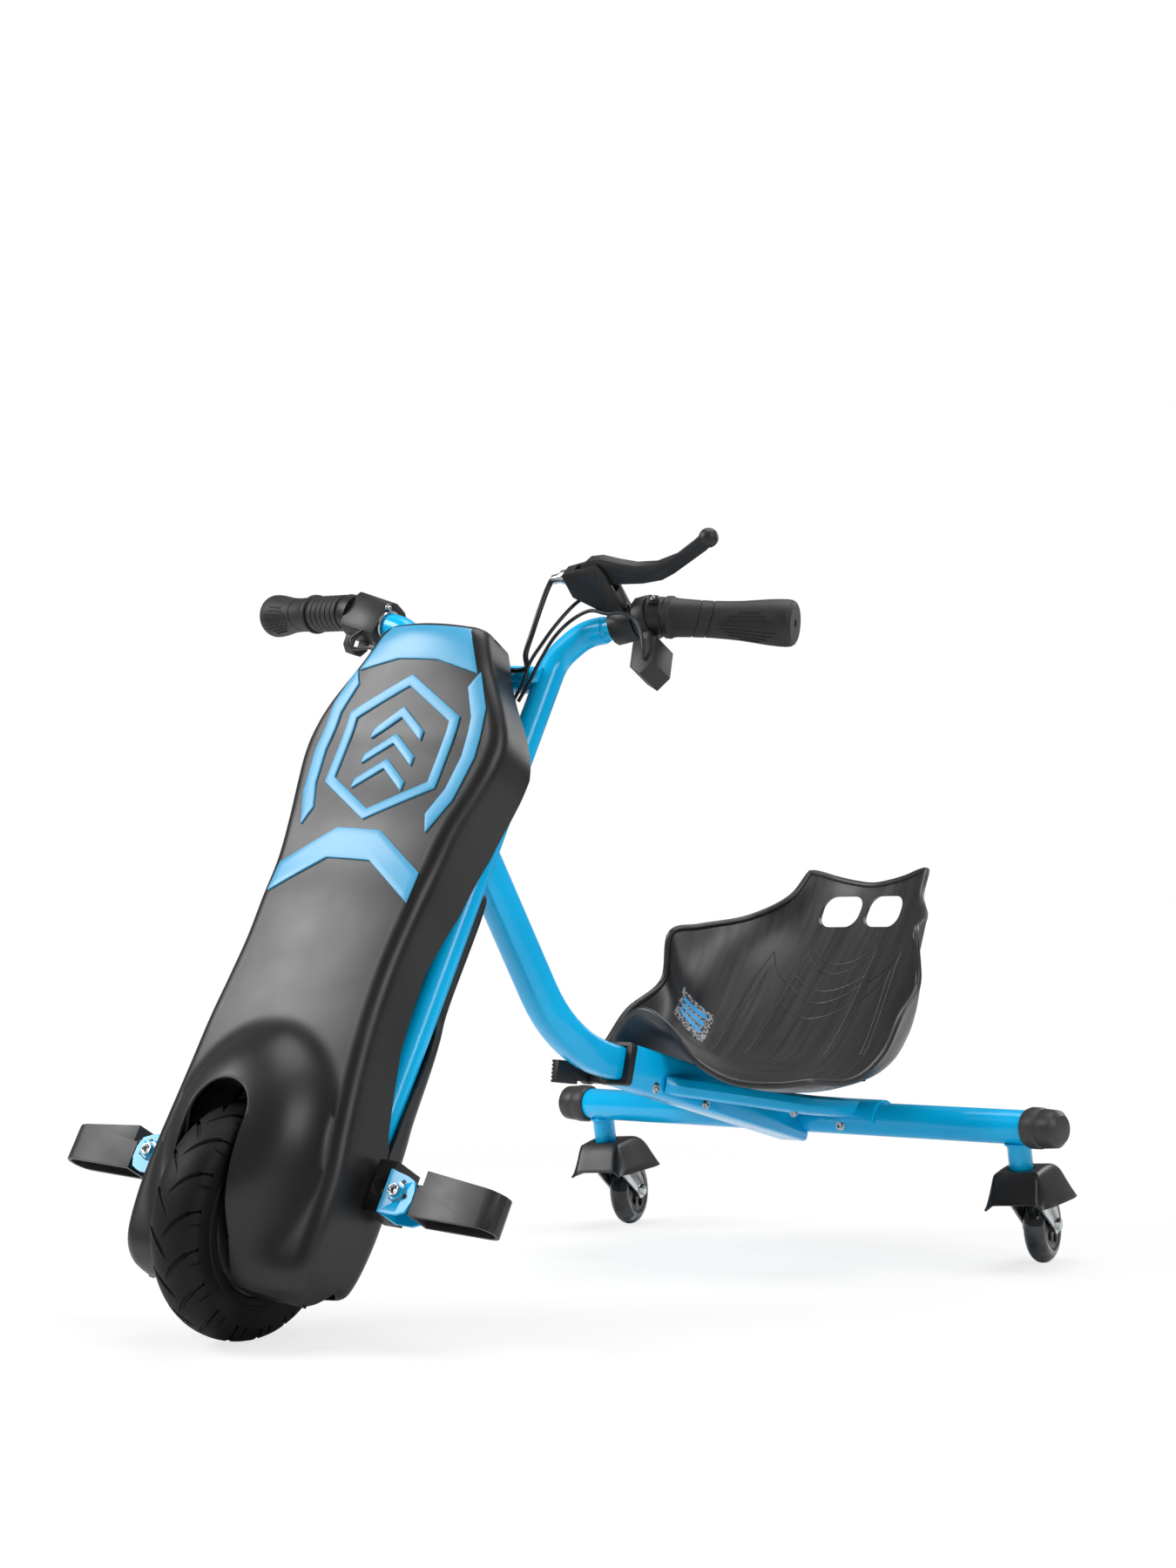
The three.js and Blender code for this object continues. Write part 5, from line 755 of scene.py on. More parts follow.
def along_line(points, steps):
    made = []
    for (x0, z0), (x1, z1) in zip(points, points[1:]):
        made += [(x0 + (x1 - x0) * i / steps, z0 + (z1 - z0) * i / steps) for i in range(steps)]
    return made + [points[-1]]


def face_ribbon(name, one_edge, other_edge, across=2, steps=ribbon_steps):
    rows = []
    for (x0, z0), (x1, z1) in zip(along_line(one_edge, steps), along_line(other_edge, steps)):
        row = []
        for i in range(across + 1):
            x, z = x0 + (x1 - x0) * i / across, z0 + (z1 - z0) * i / across
            row.append(Vector((x * mm, -face_depth(x * mm, z * mm) + trim_sunk * mm, z * mm)))
        rows.append(row)
    piece = face_towards(weld(laid_grid(name, rows), 0.05 * mm), 1, -1)
    apply_modifier(piece, "SOLIDIFY", thickness=(trim_rise + trim_sunk) * mm, offset=1)
    return smooth(round_edges(piece, 0.7, 50, segments=3), 35)


top_over = [(-45, 554), (-15, 554), (15, 554), (45, 554)]
top_under = [(-67, 510), (-22, 520), (22, 520), (67, 510)]
low_over = [(-78, 314), (-24, 350), (24, 350), (78, 314)]
low_under = [(x, z - low_bar_height) for x, z in low_over]
mount(face_ribbon("trim_top_bar", top_over, top_under, 4), steered, "trim_top", replaced=True)
mount(face_ribbon("trim_low_chevron", low_over, low_under, 4), steered, "trim_bottom", replaced=True)
print("trim bars that stand for nodes: 2")

# %% Small trim pieces
hexagon_outside = [(0, 505), (62, 468), (62, 396), (0, 359), (-62, 396), (-62, 468), (0, 505)]
hexagon_inside = [(0, 494), (52.5, 462.5), (52.5, 401.5), (0, 370), (-52.5, 401.5), (-52.5, 462.5), (0, 494)]
mount(face_ribbon("trim_hexagon", hexagon_outside, hexagon_inside, steps=6), steered, "trim_top")

arrow_half, arrow_rise, arrow_bar, arrow_lows = 28, 22, 10, (452, 426, 400)
for number, low in enumerate(arrow_lows):
    over = [(-arrow_half, low), (0, low + arrow_rise), (arrow_half, low)]
    under = [(x, z - arrow_bar) for x, z in over]
    mount(face_ribbon("trim_arrow_%d" % number, over, under), steered, "trim_top")

side_outside = [(70, 512), (86, 478), (90, 430), (84, 386), (70, 352)]
side_inside = [(62, 496), (74, 468), (77, 430), (73, 396), (63, 370)]
for side, label in both_sides:
    outer, inner = ([(side * x, z) for x, z in line] for line in (side_outside, side_inside))
    mount(face_ribbon("trim_side_" + label, outer, inner), steered, "trim_top")

# %% [markdown]
# Bent tubes and cables are curves with a round bevel. A tube's path is straight between bends of one radius,
# as a bender makes it. A cable's path is a soft curve through listed points.

# %% Paths
bend_steps = 10


def rounded_path(corners, radius):
    points = [Vector(corner) * mm for corner in corners]
    stations = [points[0]]
    for before, here, after in zip(points, points[1:], points[2:]):
        into, out = (here - before).normalized(), (after - here).normalized()
        angle = into.angle(out)
        start = here - into * (radius * mm * math.tan(angle / 2))
        axis = into.cross(out).normalized()
        centre = start + axis.cross(into) * radius * mm
        for step in range(bend_steps + 1):
            stations.append(centre + Matrix.Rotation(angle * step / bend_steps, 3, axis) @ (start - centre))
    return stations + [points[-1]]


def soft_path(points, intervals):
    points = [Vector(point) for point in points]
    last = len(points) - 1
    made = []
    for i in range(intervals + 1):
        place_at = last * i / intervals
        k = min(int(place_at), last - 1)
        t = place_at - k
        b, c = points[k], points[k + 1]
        a = points[k - 1] if k else 2 * b - c
        d = points[k + 2] if k + 2 <= last else 2 * c - b
        first, middle, final = ((q - p).length ** 0.5 for p, q in ((a, b), (b, c), (c, d)))
        leave = ((b - a) / first - (c - a) / (first + middle) + (c - b) / middle) * middle
        arrive = ((c - b) / middle - (d - b) / (middle + final) + (d - c) / final) * middle
        made.append(
            b
            + leave * t
            + (3 * (c - b) - 2 * leave - arrive) * t**2
            + (2 * (b - c) + leave + arrive) * t**3
        )
    return made


def curve_through(name, stations, radius, closed=False, sides=28):
    data = bpy.data.curves.new(name, "CURVE")
    data.dimensions = "3D"
    spline = data.splines.new("POLY")
    spline.points.add(len(stations) - 1)
    for point, station in zip(spline.points, stations):
        point.co = (*station, 1)
    spline.use_cyclic_u = closed
    data.bevel_depth = radius * mm
    data.bevel_resolution = (sides - 4) // 2
    data.use_fill_caps = not closed
    piece = bpy.data.objects.new(name, data)
    bpy.context.scene.collection.objects.link(piece)
    return piece


def tube_along(name, stations, radius, closed=False, sides=28):
    pick_only(curve_through(name, stations, radius, closed, sides))
    bpy.ops.object.convert(target="MESH")
    return smooth(weld(bpy.context.object), 40)


print("a soft path of 3 points:", [round(p.x, 2) for p in soft_path([(0, 0, 0), (1, 0, 1), (2, 0, 0)], 4)])

# %% [markdown]
# A turned piece starts as its profile, spun about the X axis. Small blocks and rods start as a cube and a
# cylinder and get a soft edge. A bolt is a six-sided rod with a hexagonal hole, on its washer. Its size is
# given as the head's half width, its height and the washer's radius, in millimetres.

# %% Turned pieces, blocks, rods and bolts
turn_to = {
    "X": Matrix.Rotation(math.pi / 2, 4, "Y"),
    "Y": Matrix.Rotation(-math.pi / 2, 4, "X"),
    "-Y": Matrix.Rotation(math.pi / 2, 4, "X"),
    "Z": Matrix(),
}


def joined(name, *pieces):
    select_none()
    for piece in pieces:
        piece.select_set(True)
    bpy.context.view_layer.objects.active = pieces[0]
    bpy.ops.object.join()
    pieces[0].name = name
    return pieces[0]


def turned(name, profile, steps=48):
    select_none()
    bpy.ops.mesh.primitive_circle_add(vertices=len(profile), fill_type="NOTHING", radius=1)
    piece = just_added(name)
    for vertex, (radius, along) in zip(piece.data.vertices, profile):
        vertex.co = (along * mm, 0, radius * mm)
    edit_all(piece)
    bpy.ops.mesh.spin(steps=steps, angle=2 * math.pi, center=(0, 0, 0), axis=(1, 0, 0))
    leave_edit()
    return smooth(weld(piece), 32)


def block(name, size, at, edge):
    select_none()
    bpy.ops.mesh.primitive_cube_add(size=1)
    piece = just_added(name)
    piece.data.transform(shift_mm(at) @ Matrix.Diagonal((*(Vector(size) * mm), 1)))
    if edge:
        apply_modifier(piece, "BEVEL", width=edge * mm, segments=2)
    return smooth(piece, 32)


def rod(name, radius, length, at, axis, sides, edge):
    select_none()
    bpy.ops.mesh.primitive_cylinder_add(vertices=sides, radius=radius * mm, depth=length * mm)
    piece = just_added(name)
    piece.data.transform(shift_mm(at) @ turn_to[axis])
    if edge:
        round_edges(piece, edge, 50)
    return smooth(piece, 35)


def hex_bolt(name, node, at, axes, axis, size):
    half_width, height, washer = size
    disc_height, hole_share, hole_rise_share = 1.2, 0.5, 0.45
    head = rod(name, half_width, height, (0, 0, 0), "Z", 6, 0.5)
    disc_at = (0, 0, -height / 2 - disc_height / 2)
    disc = rod(name + "_washer", washer, disc_height, disc_at, "Z", 28, 0.3)
    hole_at = (0, 0, height * hole_rise_share)
    carve(head, rod(name + "_socket", half_width * hole_share, height, hole_at, "Z", 6, 0))
    return mount(joined(name, head, disc), axes @ shift_mm(at) @ turn_to[axis], node, bolt_steel)


print("pieces can be turned to:", ", ".join(turn_to))

# %% [markdown]
# Each side of the handlebar is one bent tube: it stands beside the wheel, turns outwards at the crown and is
# swaged down to a thinner end. A flat dropout at its foot takes the axle.

# %% Frame tubes
lower_radius, upper_radius, bend_radius = 12.7, 11.1, 39.1
bar_inner, bar_turn, bar_end = (118.45, 2.5, 605.67), (176, -2, 619.5), (299, 27.5, 632.8)
lower_corners = [(80, 4, -16), (80, 4, 575), (103, 2.5, 602), (124, 2.5, 607)]
upper_corners = [bar_inner, bar_turn, bar_end]
swage_profile = [(12.6, -3), (12.6, 0), (11.3, 6), (11, 6), (11, -3)]
swage_at, dropout_size, dropout_at = (122, 2.4, 606.5), (6, 62, 44), (80, -11, 4)


def on_side(side, point):
    return (side * point[0], point[1], point[2])


for side, label in both_sides:
    lower_path = rounded_path([on_side(side, point) for point in lower_corners], bend_radius)
    upper_path = rounded_path([on_side(side, point) for point in upper_corners], bend_radius)
    lower = tube_along("lower_tube_" + label, lower_path, lower_radius)
    upper = tube_along("upper_tube_" + label, upper_path, upper_radius)
    swage = turned("swage_" + label, swage_profile)
    reach = Vector([b - a for a, b in zip(on_side(side, bar_inner), on_side(side, bar_turn))]).normalized()
    turn = Vector((1, 0, 0)).rotation_difference(reach).to_matrix().to_4x4()
    place(swage, shift_mm(on_side(side, swage_at)) @ turn)
    plate = block("dropout_" + label, dropout_size, on_side(side, dropout_at), 1.0)
    bar = joined("handlebar_bent_tube_" + label, lower, upper, swage, plate)
    mount(bar, steered, "handlebar_tube_" + label, replaced=True)
print("bent bars:", bar.name, "and its twin")

# %% Crowns and axle tube
for node, height in (("crown_upper", 550), ("crown_lower", 394)):
    mount(rod(node + "_tube", lower_radius, 140, (0, 0, height), "X", 32, 0), steered, node)
axle_radius, axle_length, axle_at = 17, 640, (0, 750, 140)
axle = mount(rod("axle_tube_drawn", axle_radius, axle_length, axle_at, "X", 48, 0.6), rear_shift, "axle_tube")
print("straight tubes: two crowns and", axle.name)

# %% [markdown]
# Behind the slot the wheel turns in a black well, so no light from behind shows through. It is a net along an
# arch round the wheel, with cheeks that fold in at both sides, and it stays 5 mm behind the front shell's
# face. A slim round lip follows the slot's edge.

# %% Wheel well and slot lip
well_top, well_radius, well_half, cheek_depth, well_gap, well_wall = 97, 112, 60, 44, 5, 1.6
arch_start, arch_step, arch_stops = 60, 3, 20
spine = [(-130, well_top), (-92, well_top + 4)]
for stop in range(arch_stops):
    angle = math.radians(arch_start + arch_step * stop)
    spine.append((-wheel_lead - well_radius * math.cos(angle), well_radius * math.sin(angle)))
across_well = [(well_half, cheek_depth), (well_half, cheek_depth / 2), (well_half, 6), (well_half - 6, 0)]
across_well += [(well_half / 2, 0)]
across_well += [(0, 0)] + [(-x, drop) for x, drop in reversed(across_well)]
well_rows = []
for y, z in spine:
    inward = Vector((0, -wheel_lead - y, -z)).normalized()
    row = [(Vector((x, y, z)) + inward * drop) * mm for x, drop in across_well]
    for point in row:
        point.y = max(point.y, well_gap * mm - face_depth(point.x, point.z))
    well_rows.append(row)
well = laid_grid("wheel_well_liner", well_rows)
apply_modifier(well, "SOLIDIFY", thickness=well_wall * mm, offset=0)
mount(smooth(well, 40), steered, "front_shell", control_nylon)

lip_radius, lip_sunk, lip_grow, lip_floor = 1.6, 1.2, 0.6, -30
lip_edge = slot_outline(lip_grow * mm, lip_floor * mm)
lip_line = [Vector((x, -face_depth(x, z) + lip_sunk * mm, z)) for x, z in lip_edge]
mount(tube_along("slot_lip", lip_line, lip_radius, sides=12), steered, "front_shell")
print("wheel well:", len(well.data.polygons), "faces")

# %% [markdown]
# Cables hang from the controls and run down behind the shroud. Each is one curve along the CAD cord's route.
# The table gives each cord's radius in millimetres and the points of its route in the steered half's axes,
# in tenths of a metre.

# %% Cables
cable_points = {
    "brake_cable": (2.5, [(0.845, -0.468, 6.288), (0.835, -0.468, 6.2), (0.825, -0.455, 6),
        (0.8, -0.41, 5.77), (0.75, -0.33, 5.58), (0.69, -0.18, 5.52), (0.61, -0.166, 5.5),
        (0.52, -0.164, 5.5)]),
    "perch_wire": (1.7, [(1.118, -0.24, 6.282), (1.02, -0.25, 6.17), (0.94, -0.3, 5.92), (0.87, -0.31, 5.7),
        (0.79, -0.28, 5.52), (0.72, -0.187, 5.37), (0.665, -0.157, 5.2)]),
    "switch_wire": (1.7, [(2.03, -0.332, 5.56), (2, -0.38, 5.7), (1.86, -0.38, 5.9), (1.65, -0.33, 6.03),
        (1.43, -0.27, 6.06), (1.18, -0.22, 6.12), (1.01, -0.2, 6.03), (0.92, -0.23, 5.84),
        (0.85, -0.22, 5.62), (0.76, -0.15, 5.42), (0.69, -0.12, 5.2)]),
    "throttle_wire": (1.7, [(-1.438, -0.138, 5.92), (-1.42, -0.26, 5.74), (-1.3, -0.3, 5.62),
        (-1.05, -0.34, 5.6), (-0.8, -0.32, 5.46), (-0.62, -0.26, 5.1)]),
}
for node, (radius, points) in cable_points.items():
    stations = [steered @ (Vector(point) * 0.1) for point in soft_path(points, 90)]
    cable = curve_through(node + "_jacket", stations, radius, sides=16)
    cable.data.materials.append(jacket_pvc)
    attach(cable, "steering")
    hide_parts(node)
    length = sum((b - a).length for a, b in zip(stations, stations[1:]))
    print(node, "is", round(1000 * length), "mm long")

# %% [markdown]
# The seat is one skin laid through ten cross rows, each a soft curve from side to side. It is thickened
# downwards, the two hand holes are cut, and a round bead runs along its edge, where the mould closed.

# %% Seat rows
seat_half, seat_front, seat_length, seat_low, seat_height = 184 * mm, 512 * mm, 382 * mm, 180 * mm, 216 * mm
seat_rows = [
    [[0, 0, 0.375], [0.163, 0.005, 0.306], [0.326, 0.024, 0.148], [0.543, 0.045, 0.06],
     [0.761, 0.086, 0.046], [0.897, 0.141, 0.06]],
    [[0, 0.126, 0.241], [0.174, 0.126, 0.194], [0.337, 0.131, 0.083], [0.543, 0.147, 0.019],
     [0.788, 0.191, 0.019], [0.978, 0.262, 0.056]],
    [[0, 0.283, 0.116], [0.19, 0.283, 0.093], [0.38, 0.29, 0.023], [0.571, 0.304, 0], [0.815, 0.335, 0.028],
     [1, 0.374, 0.157]],
    [[0, 0.44, 0.079], [0.217, 0.44, 0.06], [0.435, 0.445, 0.019], [0.652, 0.461, 0.028],
     [0.87, 0.492, 0.116], [0.984, 0.466, 0.324]],
    [[0, 0.55, 0.093], [0.217, 0.555, 0.093], [0.435, 0.565, 0.093], [0.652, 0.584, 0.148],
     [0.842, 0.602, 0.3], [0.926, 0.588, 0.47]],
    [[0, 0.681, 0.269], [0.217, 0.681, 0.269], [0.435, 0.675, 0.278], [0.641, 0.66, 0.324],
     [0.804, 0.628, 0.45], [0.888, 0.608, 0.715]],
    [[0, 0.806, 0.5], [0.207, 0.801, 0.5], [0.435, 0.785, 0.514], [0.609, 0.754, 0.546],
     [0.734, 0.717, 0.625], [0.804, 0.681, 0.742]],
    [[0, 0.906, 0.694], [0.19, 0.903, 0.694], [0.353, 0.893, 0.704], [0.478, 0.874, 0.722],
     [0.571, 0.848, 0.759], [0.641, 0.817, 0.785]],
    [[0, 0.963, 0.833], [0.152, 0.963, 0.838], [0.283, 0.955, 0.852], [0.38, 0.942, 0.87],
     [0.435, 0.927, 0.889], [0.478, 0.911, 0.885]],
    [[0, 1, 0.94], [0.136, 0.997, 0.954], [0.261, 0.992, 0.977], [0.353, 0.984, 1], [0.402, 0.979, 1.009],
     [0.429, 0.974, 1.009]],
]
seat_across, seat_along, seat_wall = 50, 72, 4


def seat_point(x, y, z):
    return Vector((x * seat_half, seat_front + y * seat_length, seat_low + z * seat_height))


stations = []
for row in seat_rows:
    half_row = [seat_point(*point) for point in row]
    other_half = [Vector((-p.x, p.y, p.z)) for p in reversed(half_row[1:])]
    stations.append(soft_path(other_half + half_row, seat_across))
columns = [soft_path([station[i] for station in stations], seat_along) for i in range(seat_across + 1)]
seat_net = [[column[row] for column in columns] for row in range(seat_along + 1)]
seat_skin = face_towards(laid_grid("seat_moulding", seat_net), 2, 1)
apply_modifier(seat_skin, "SOLIDIFY", thickness=seat_wall * mm, offset=-1)
print("seat skin:", len(seat_skin.data.polygons), "faces")

# %% Hand holes and rim bead
hole_in, hole_out, hole_low, hole_high, hole_radius = 4, 54, 336, 369, 13
quarter_steps, hole_reach, hole_place = 6, 0.2, (0, 0.9, 0)
bead_radius, bead_drop = 3.6, 2.2


def rounded_hole(x0, x1, z0, z1, radius):
    made = []
    for cx, cz, first in ((x1, z1, 0), (x0, z1, 90), (x0, z0, 180), (x1, z0, 270)):
        inward = Vector((radius if cx == x0 else -radius, radius if cz == z0 else -radius))
        for step in range(quarter_steps + 1):
            angle = math.radians(first + 90 / quarter_steps * step)
            made.append((cx + inward.x + radius * math.cos(angle), cz + inward.y + radius * math.sin(angle)))
    return made


for side, label in both_sides:
    low_x, high_x = sorted((side * hole_in * mm, side * hole_out * mm))
    hole = rounded_hole(low_x, high_x, hole_low * mm, hole_high * mm, hole_radius * mm)
    hole_tool = cutter("hand_hole_tool_" + label, hole, hole_reach)
    carve(seat_skin, place(hole_tool, Matrix.Translation(hole_place)))
smooth(weld(seat_skin), 50)

seat_face = BVHTree.FromPolygons(
    [vertex.co.copy() for vertex in seat_skin.data.vertices],
    [tuple(face.vertices) for face in seat_skin.data.polygons],
)
far_side, near_side = [row[-1] for row in seat_net[1:]], [row[0] for row in seat_net[-2:0:-1]]
outline = seat_net[0] + far_side + seat_net[-1][-2::-1] + near_side
bead_line = [p - Vector((0, 0, bead_drop * mm)) for p in outline]
rim_bead = tube_along("seat_rim_bead", bead_line, bead_radius, closed=True, sides=14)
seat_piece = joined("seat_moulded_shell", seat_skin, rim_bead)
mount(seat_piece, rear_shift, "seat_shell", replaced=True)
print("seat:", len(seat_piece.data.polygons), "faces")

# %% [markdown]
# The lines pressed in the seat's back are slim raised beads. Each is drawn flat, as seen from the front, and
# a ray from each of its points finds the seat's face behind it.

# %% Pressed lines in the seat's back
line_radius, line_lift, line_steps, ray_start_share = 0.7, 0.1, 40, 0.42
side_lines = {
    "outer": [(104, 206), (99, 240), (92, 280), (86, 310)],
    "fall": [(86, 310), (74, 292), (56, 278)],
    "leaf": [(80, 294), (70, 272), (56, 258)],
    "inner": [(52, 204), (50, 240), (47, 276), (44, 312)],
    "edge": [(98, 206), (92, 240), (86, 270), (82, 292)],
}
arc_half, arc_points, arc_lows_and_dips = 44, 7, ((296, 18), (286, 20), (268, 16), (256, 18), (240, 16))


def on_seat(x, z):
    start = Vector((x, seat_front + ray_start_share * seat_length, z))
    return seat_face.ray_cast(start, Vector((0, 1, 0)))[0]


def seat_line(name, points):
    flat_path = soft_path([Vector((x, 0, z)) * mm for x, z in points], line_steps)
    hits = [on_seat(p.x, p.z) for p in flat_path]
    line = tube_along(name, [hit for hit in hits if hit], line_radius, sides=8)
    return mount(line, rear_shift @ Matrix.Translation((0, -line_lift * mm, 0)), "seat_shell", seat_pe)


for side, label in both_sides:
    for line, points in side_lines.items():
        seat_line("seat_line_%s_%s" % (line, label), [(side * x, z) for x, z in points])
for number, (low, dip) in enumerate(arc_lows_and_dips):
    shares = [2 * i / (arc_points - 1) - 1 for i in range(arc_points)]
    seat_line("seat_line_arc_%d" % number, [((arc_half + number) * u, low + dip * u * u) for u in shares])
print("seat lines:", 2 * len(side_lines) + len(arc_lows_and_dips))

# %% [markdown]
# The tyre is turned from one profile, then slanted grooves are cut in both shoulders. A groove is a bent
# bar, so each cut curves as it runs down from the crown to the side. One long and one short groove are made
# for each side, and copies of them are turned round the wheel.

# %% Front tyre
tyre_side = [
    (62.3, 19.5), (62.3, 21.5), (64, 22.6), (69, 23), (70, 23.9), (71.6, 23.9), (72.6, 23.2), (80, 24.6),
    (87, 25), (90, 24.4), (92.4, 23), (95, 21), (97.6, 17.4), (99.6, 13), (100.9, 8), (101.5, 3.4),
]
tyre_profile = [(r, a) for r, a in tyre_side] + [(101.6, 0)] + [(r, -a) for r, a in reversed(tyre_side)]
tyre = turned("front_tyre_moulded", tyre_profile, 96)
pitches, groove_radius, nick_radius = 18, 2.3, 1.5
long_shares, short_shares = (0, 0.15, 0.3, 0.45, 0.6, 0.75, 0.9, 1), (0, 0.3, 0.6, 0.8, 1)


def long_groove(side, t):
    return Vector((side * (-3 + 27 * t), -20 * (1 - t) ** 1.7 + 7 * t, 101.6 - 1.2 * t - 13.5 * t**4)) * mm


def short_groove(side, t):
    return Vector((side * (13 + 12 * t), -9 + 5 * t, 100.3 - 1.5 * t - 12 * t**3)) * mm


first_cuts = {}
for side, label in both_sides:
    long_line = [long_groove(side, t) for t in long_shares]
    short_line = [short_groove(side, t) for t in short_shares]
    groove = tube_along("groove_" + label, long_line, groove_radius, sides=6)
    nick = tube_along("nick_" + label, short_line, nick_radius, sides=6)
    first_cuts[side] = (groove, nick)
tread = []
for number in range(2 * pitches):
    turn = Matrix.Rotation(math.pi * number / pitches, 4, "X")
    tread += [place(copy_of(cut, "tread_cut"), turn) for cut in first_cuts[1 if number % 2 else -1]]
remove_all(first_cuts[1] + first_cuts[-1])
carve(tyre, joined("tread_tool", *tread))
mount(smooth(tyre, 30), front_wheel_frame, "front_tyre", replaced=True)
print("tyre:", len(tyre.data.polygons), "faces")

# %% [markdown]
# The casters: each has a smoked wheel turned round a black hub with five holes, in a pressed fork. The forks
# lean back 8 degrees with the axle, and each has swung a little to one side.

# %% Caster wheels
caster_lean, caster_swings = 8, {"left": 16.5, "right": 19}
wheel_spots = {"left": (0.262799, 0.414439, 0.037949), "right": (-0.293278, 0.413767, 0.037949)}
fork_spots = {"left": (0.277, 0.354362, 0.120949), "right": (-0.277, 0.354362, 0.120949)}
rubber_side = [(24.3, 10.2), (27, 10.9), (29, 11), (32, 10), (35, 7.6), (37.2, 4.4), (37.9, 1.8)]
rubber_profile = rubber_side + [(38, 0)] + [(r, -a) for r, a in reversed(rubber_side)]


def caster_axes(spot, label):
    lean = Matrix.Rotation(math.radians(caster_lean), 4, "X")
    return Matrix.Translation(spot) @ lean @ Matrix.Rotation(math.radians(caster_swings[label]), 4, "Z")


first_ring = turned("first_ring", rubber_profile, 64)
for label, spot in wheel_spots.items():
    ring = copy_of(first_ring, "caster_tyre_cast_" + label)
    mount(ring, caster_axes(spot, label), "caster_tyre_" + label, replaced=True)
remove_all([first_ring])
print("caster wheels:", ring.name, "and its twin")

# %% [markdown]
# Each handlebar has its own axes, with X along the bar. The grips are turned, then a net of small pads is
# set into the underside, where the palm presses, and slanted rings are cut round the barrel.


# %% Bar axes
def axes_at(point, x_axis, y_axis):
    x_axis, y_axis = Vector(x_axis).normalized(), Vector(y_axis).normalized()
    turn = Matrix((x_axis, y_axis, x_axis.cross(y_axis))).transposed()
    return Matrix.Translation(Vector(point)) @ turn.to_4x4()


def bar_frame(start, end, share):
    start, end = Vector(start) * mm, Vector(end) * mm
    x_axis = (end - start).normalized()
    if x_axis.x < 0:
        x_axis.negate()
    return steered @ axes_at(start.lerp(end, share), x_axis, Vector((0, 0, 1)).cross(x_axis))


perch_share, housing_share = 0.66, 0.55
grip_frames = {side: bar_frame(on_side(side, bar_turn), on_side(side, bar_end), 0) for side in (1, -1)}
perch_frame = bar_frame(bar_inner, bar_turn, perch_share)
housing_frame = bar_frame(on_side(-1, bar_inner), on_side(-1, bar_turn), housing_share)
print("left grip starts at:", [round(v, 3) for v in grip_frames[1].translation])

# %% Grip pieces
grip_radius, grip_bore, grip_end_wall = 18.4, 11.6, 3
ring_lean, ring_thick = 24, 0.8
pad_size, pad_rows, pad_first, pad_step, pad_corner_share = (2.9, 1.9, 1.2), 9, 96, 11, 0.75
grip_shares = [
    (0, 0.99), (0.012, 1.05), (0.05, 1.06), (0.062, 1.0), (0.1, 0.955), (0.22, 0.925), (0.36, 0.91),
    (0.5, 0.94), (0.6, 0.98), (0.7, 1.05), (0.8, 1.12), (0.88, 1.155), (0.94, 1.16), (0.97, 1.13),
    (0.99, 1.06), (1, 0.95),
]


def grip_profile(start, length):
    end = start + length
    outside = [(grip_radius * out, start + along * length) for along, out in grip_shares]
    bore_end = end - grip_end_wall
    return [(grip_bore, start)] + outside + [(4, end), (3.4, bore_end), (grip_bore, bore_end)]


def slanted_ring(at, radius, lean, thick):
    select_none()
    bpy.ops.mesh.primitive_torus_add(
        major_radius=radius * mm, minor_radius=thick * mm, major_segments=64, minor_segments=8
    )
    ring = just_added("slanted_ring")
    stretch = Matrix.Diagonal((1, 1 / math.cos(math.radians(lean)), 1, 1))
    tilt = Matrix.Rotation(math.radians(lean), 4, "Z") @ turn_to["X"]
    return place(ring, Matrix.Translation((at * mm, 0, 0)) @ tilt @ stretch)


def palm_pads(start, length, radius_at, columns):
    first_pad = block("first_pad", pad_size, (0, 0, 0), 0)
    pads = []
    for row in range(pad_rows):
        spread = 1 - ((2 * row - pad_rows + 1) / pad_rows) ** 2 * pad_corner_share
        turn = Matrix.Rotation(math.radians(pad_first + pad_step * row), 4, "X")
        for column in range(columns):
            along = start + length * (column + 0.5 * (row % 2)) / columns
            if abs(along - start - length / 2) <= spread * length / 2:
                pad_place = turn @ shift_mm((along, 0, radius_at(along)))
                pads.append(place(copy_of(first_pad, "pad"), pad_place))
    remove_all([first_pad])
    return joined("pads", *pads)


def radius_reader(profile):
    outside = sorted((along, radius) for radius, along in profile[1:-3])
    return lambda along: read_off(outside, along, 1)


print("points on a grip's outside:", len(grip_shares))

# %% Grips and throttle sleeve
pads_from, pads_over = 0.46, 0.44
grips = {
    "left": (1, 10.5, 121, (0.24, 0.34), 15),
    "right": (-1, 56.6, 74.9, (0.3,), 10),
}
mirror = Matrix.Diagonal((-1, 1, 1, 1))
for label, (side, start, length, ring_shares, pad_columns) in grips.items():
    profile = grip_profile(start, length)
    grip = turned("grip_moulded_" + label, profile, 64)
    reach = radius_reader(profile)
    for share in ring_shares:
        at = start + share * length
        carve(grip, slanted_ring(at, reach(at), ring_lean, ring_thick))
    pads = palm_pads(start + pads_from * length, pads_over * length, reach, pad_columns)
    grip = smooth(joined("grip_moulded_" + label, grip, pads), 30)
    grip_frame = grip_frames[side] if side > 0 else grip_frames[side] @ mirror
    mount(grip, grip_frame, "grip_" + label, replaced=True)

sleeve_ribs, sleeve_start, rib_pitch = 6, 7, 8
sleeve_side = [(11.7, 6)]
for number in range(sleeve_ribs):
    at = sleeve_start + rib_pitch * number
    sleeve_side += [(17.6, at), (17.9, at + 3), (17.6, at + 6.4), (16.7, at + 7), (16.7, at + 7.6)]
sleeve = turned("throttle_sleeve_moulded", sleeve_side + [(17.6, 55.4), (17, 56), (11.7, 56)], 64)
mount(sleeve, grip_frames[-1] @ mirror, "throttle_sleeve", replaced=True)
print("grips:", len(grip.data.polygons), "faces on the right one")

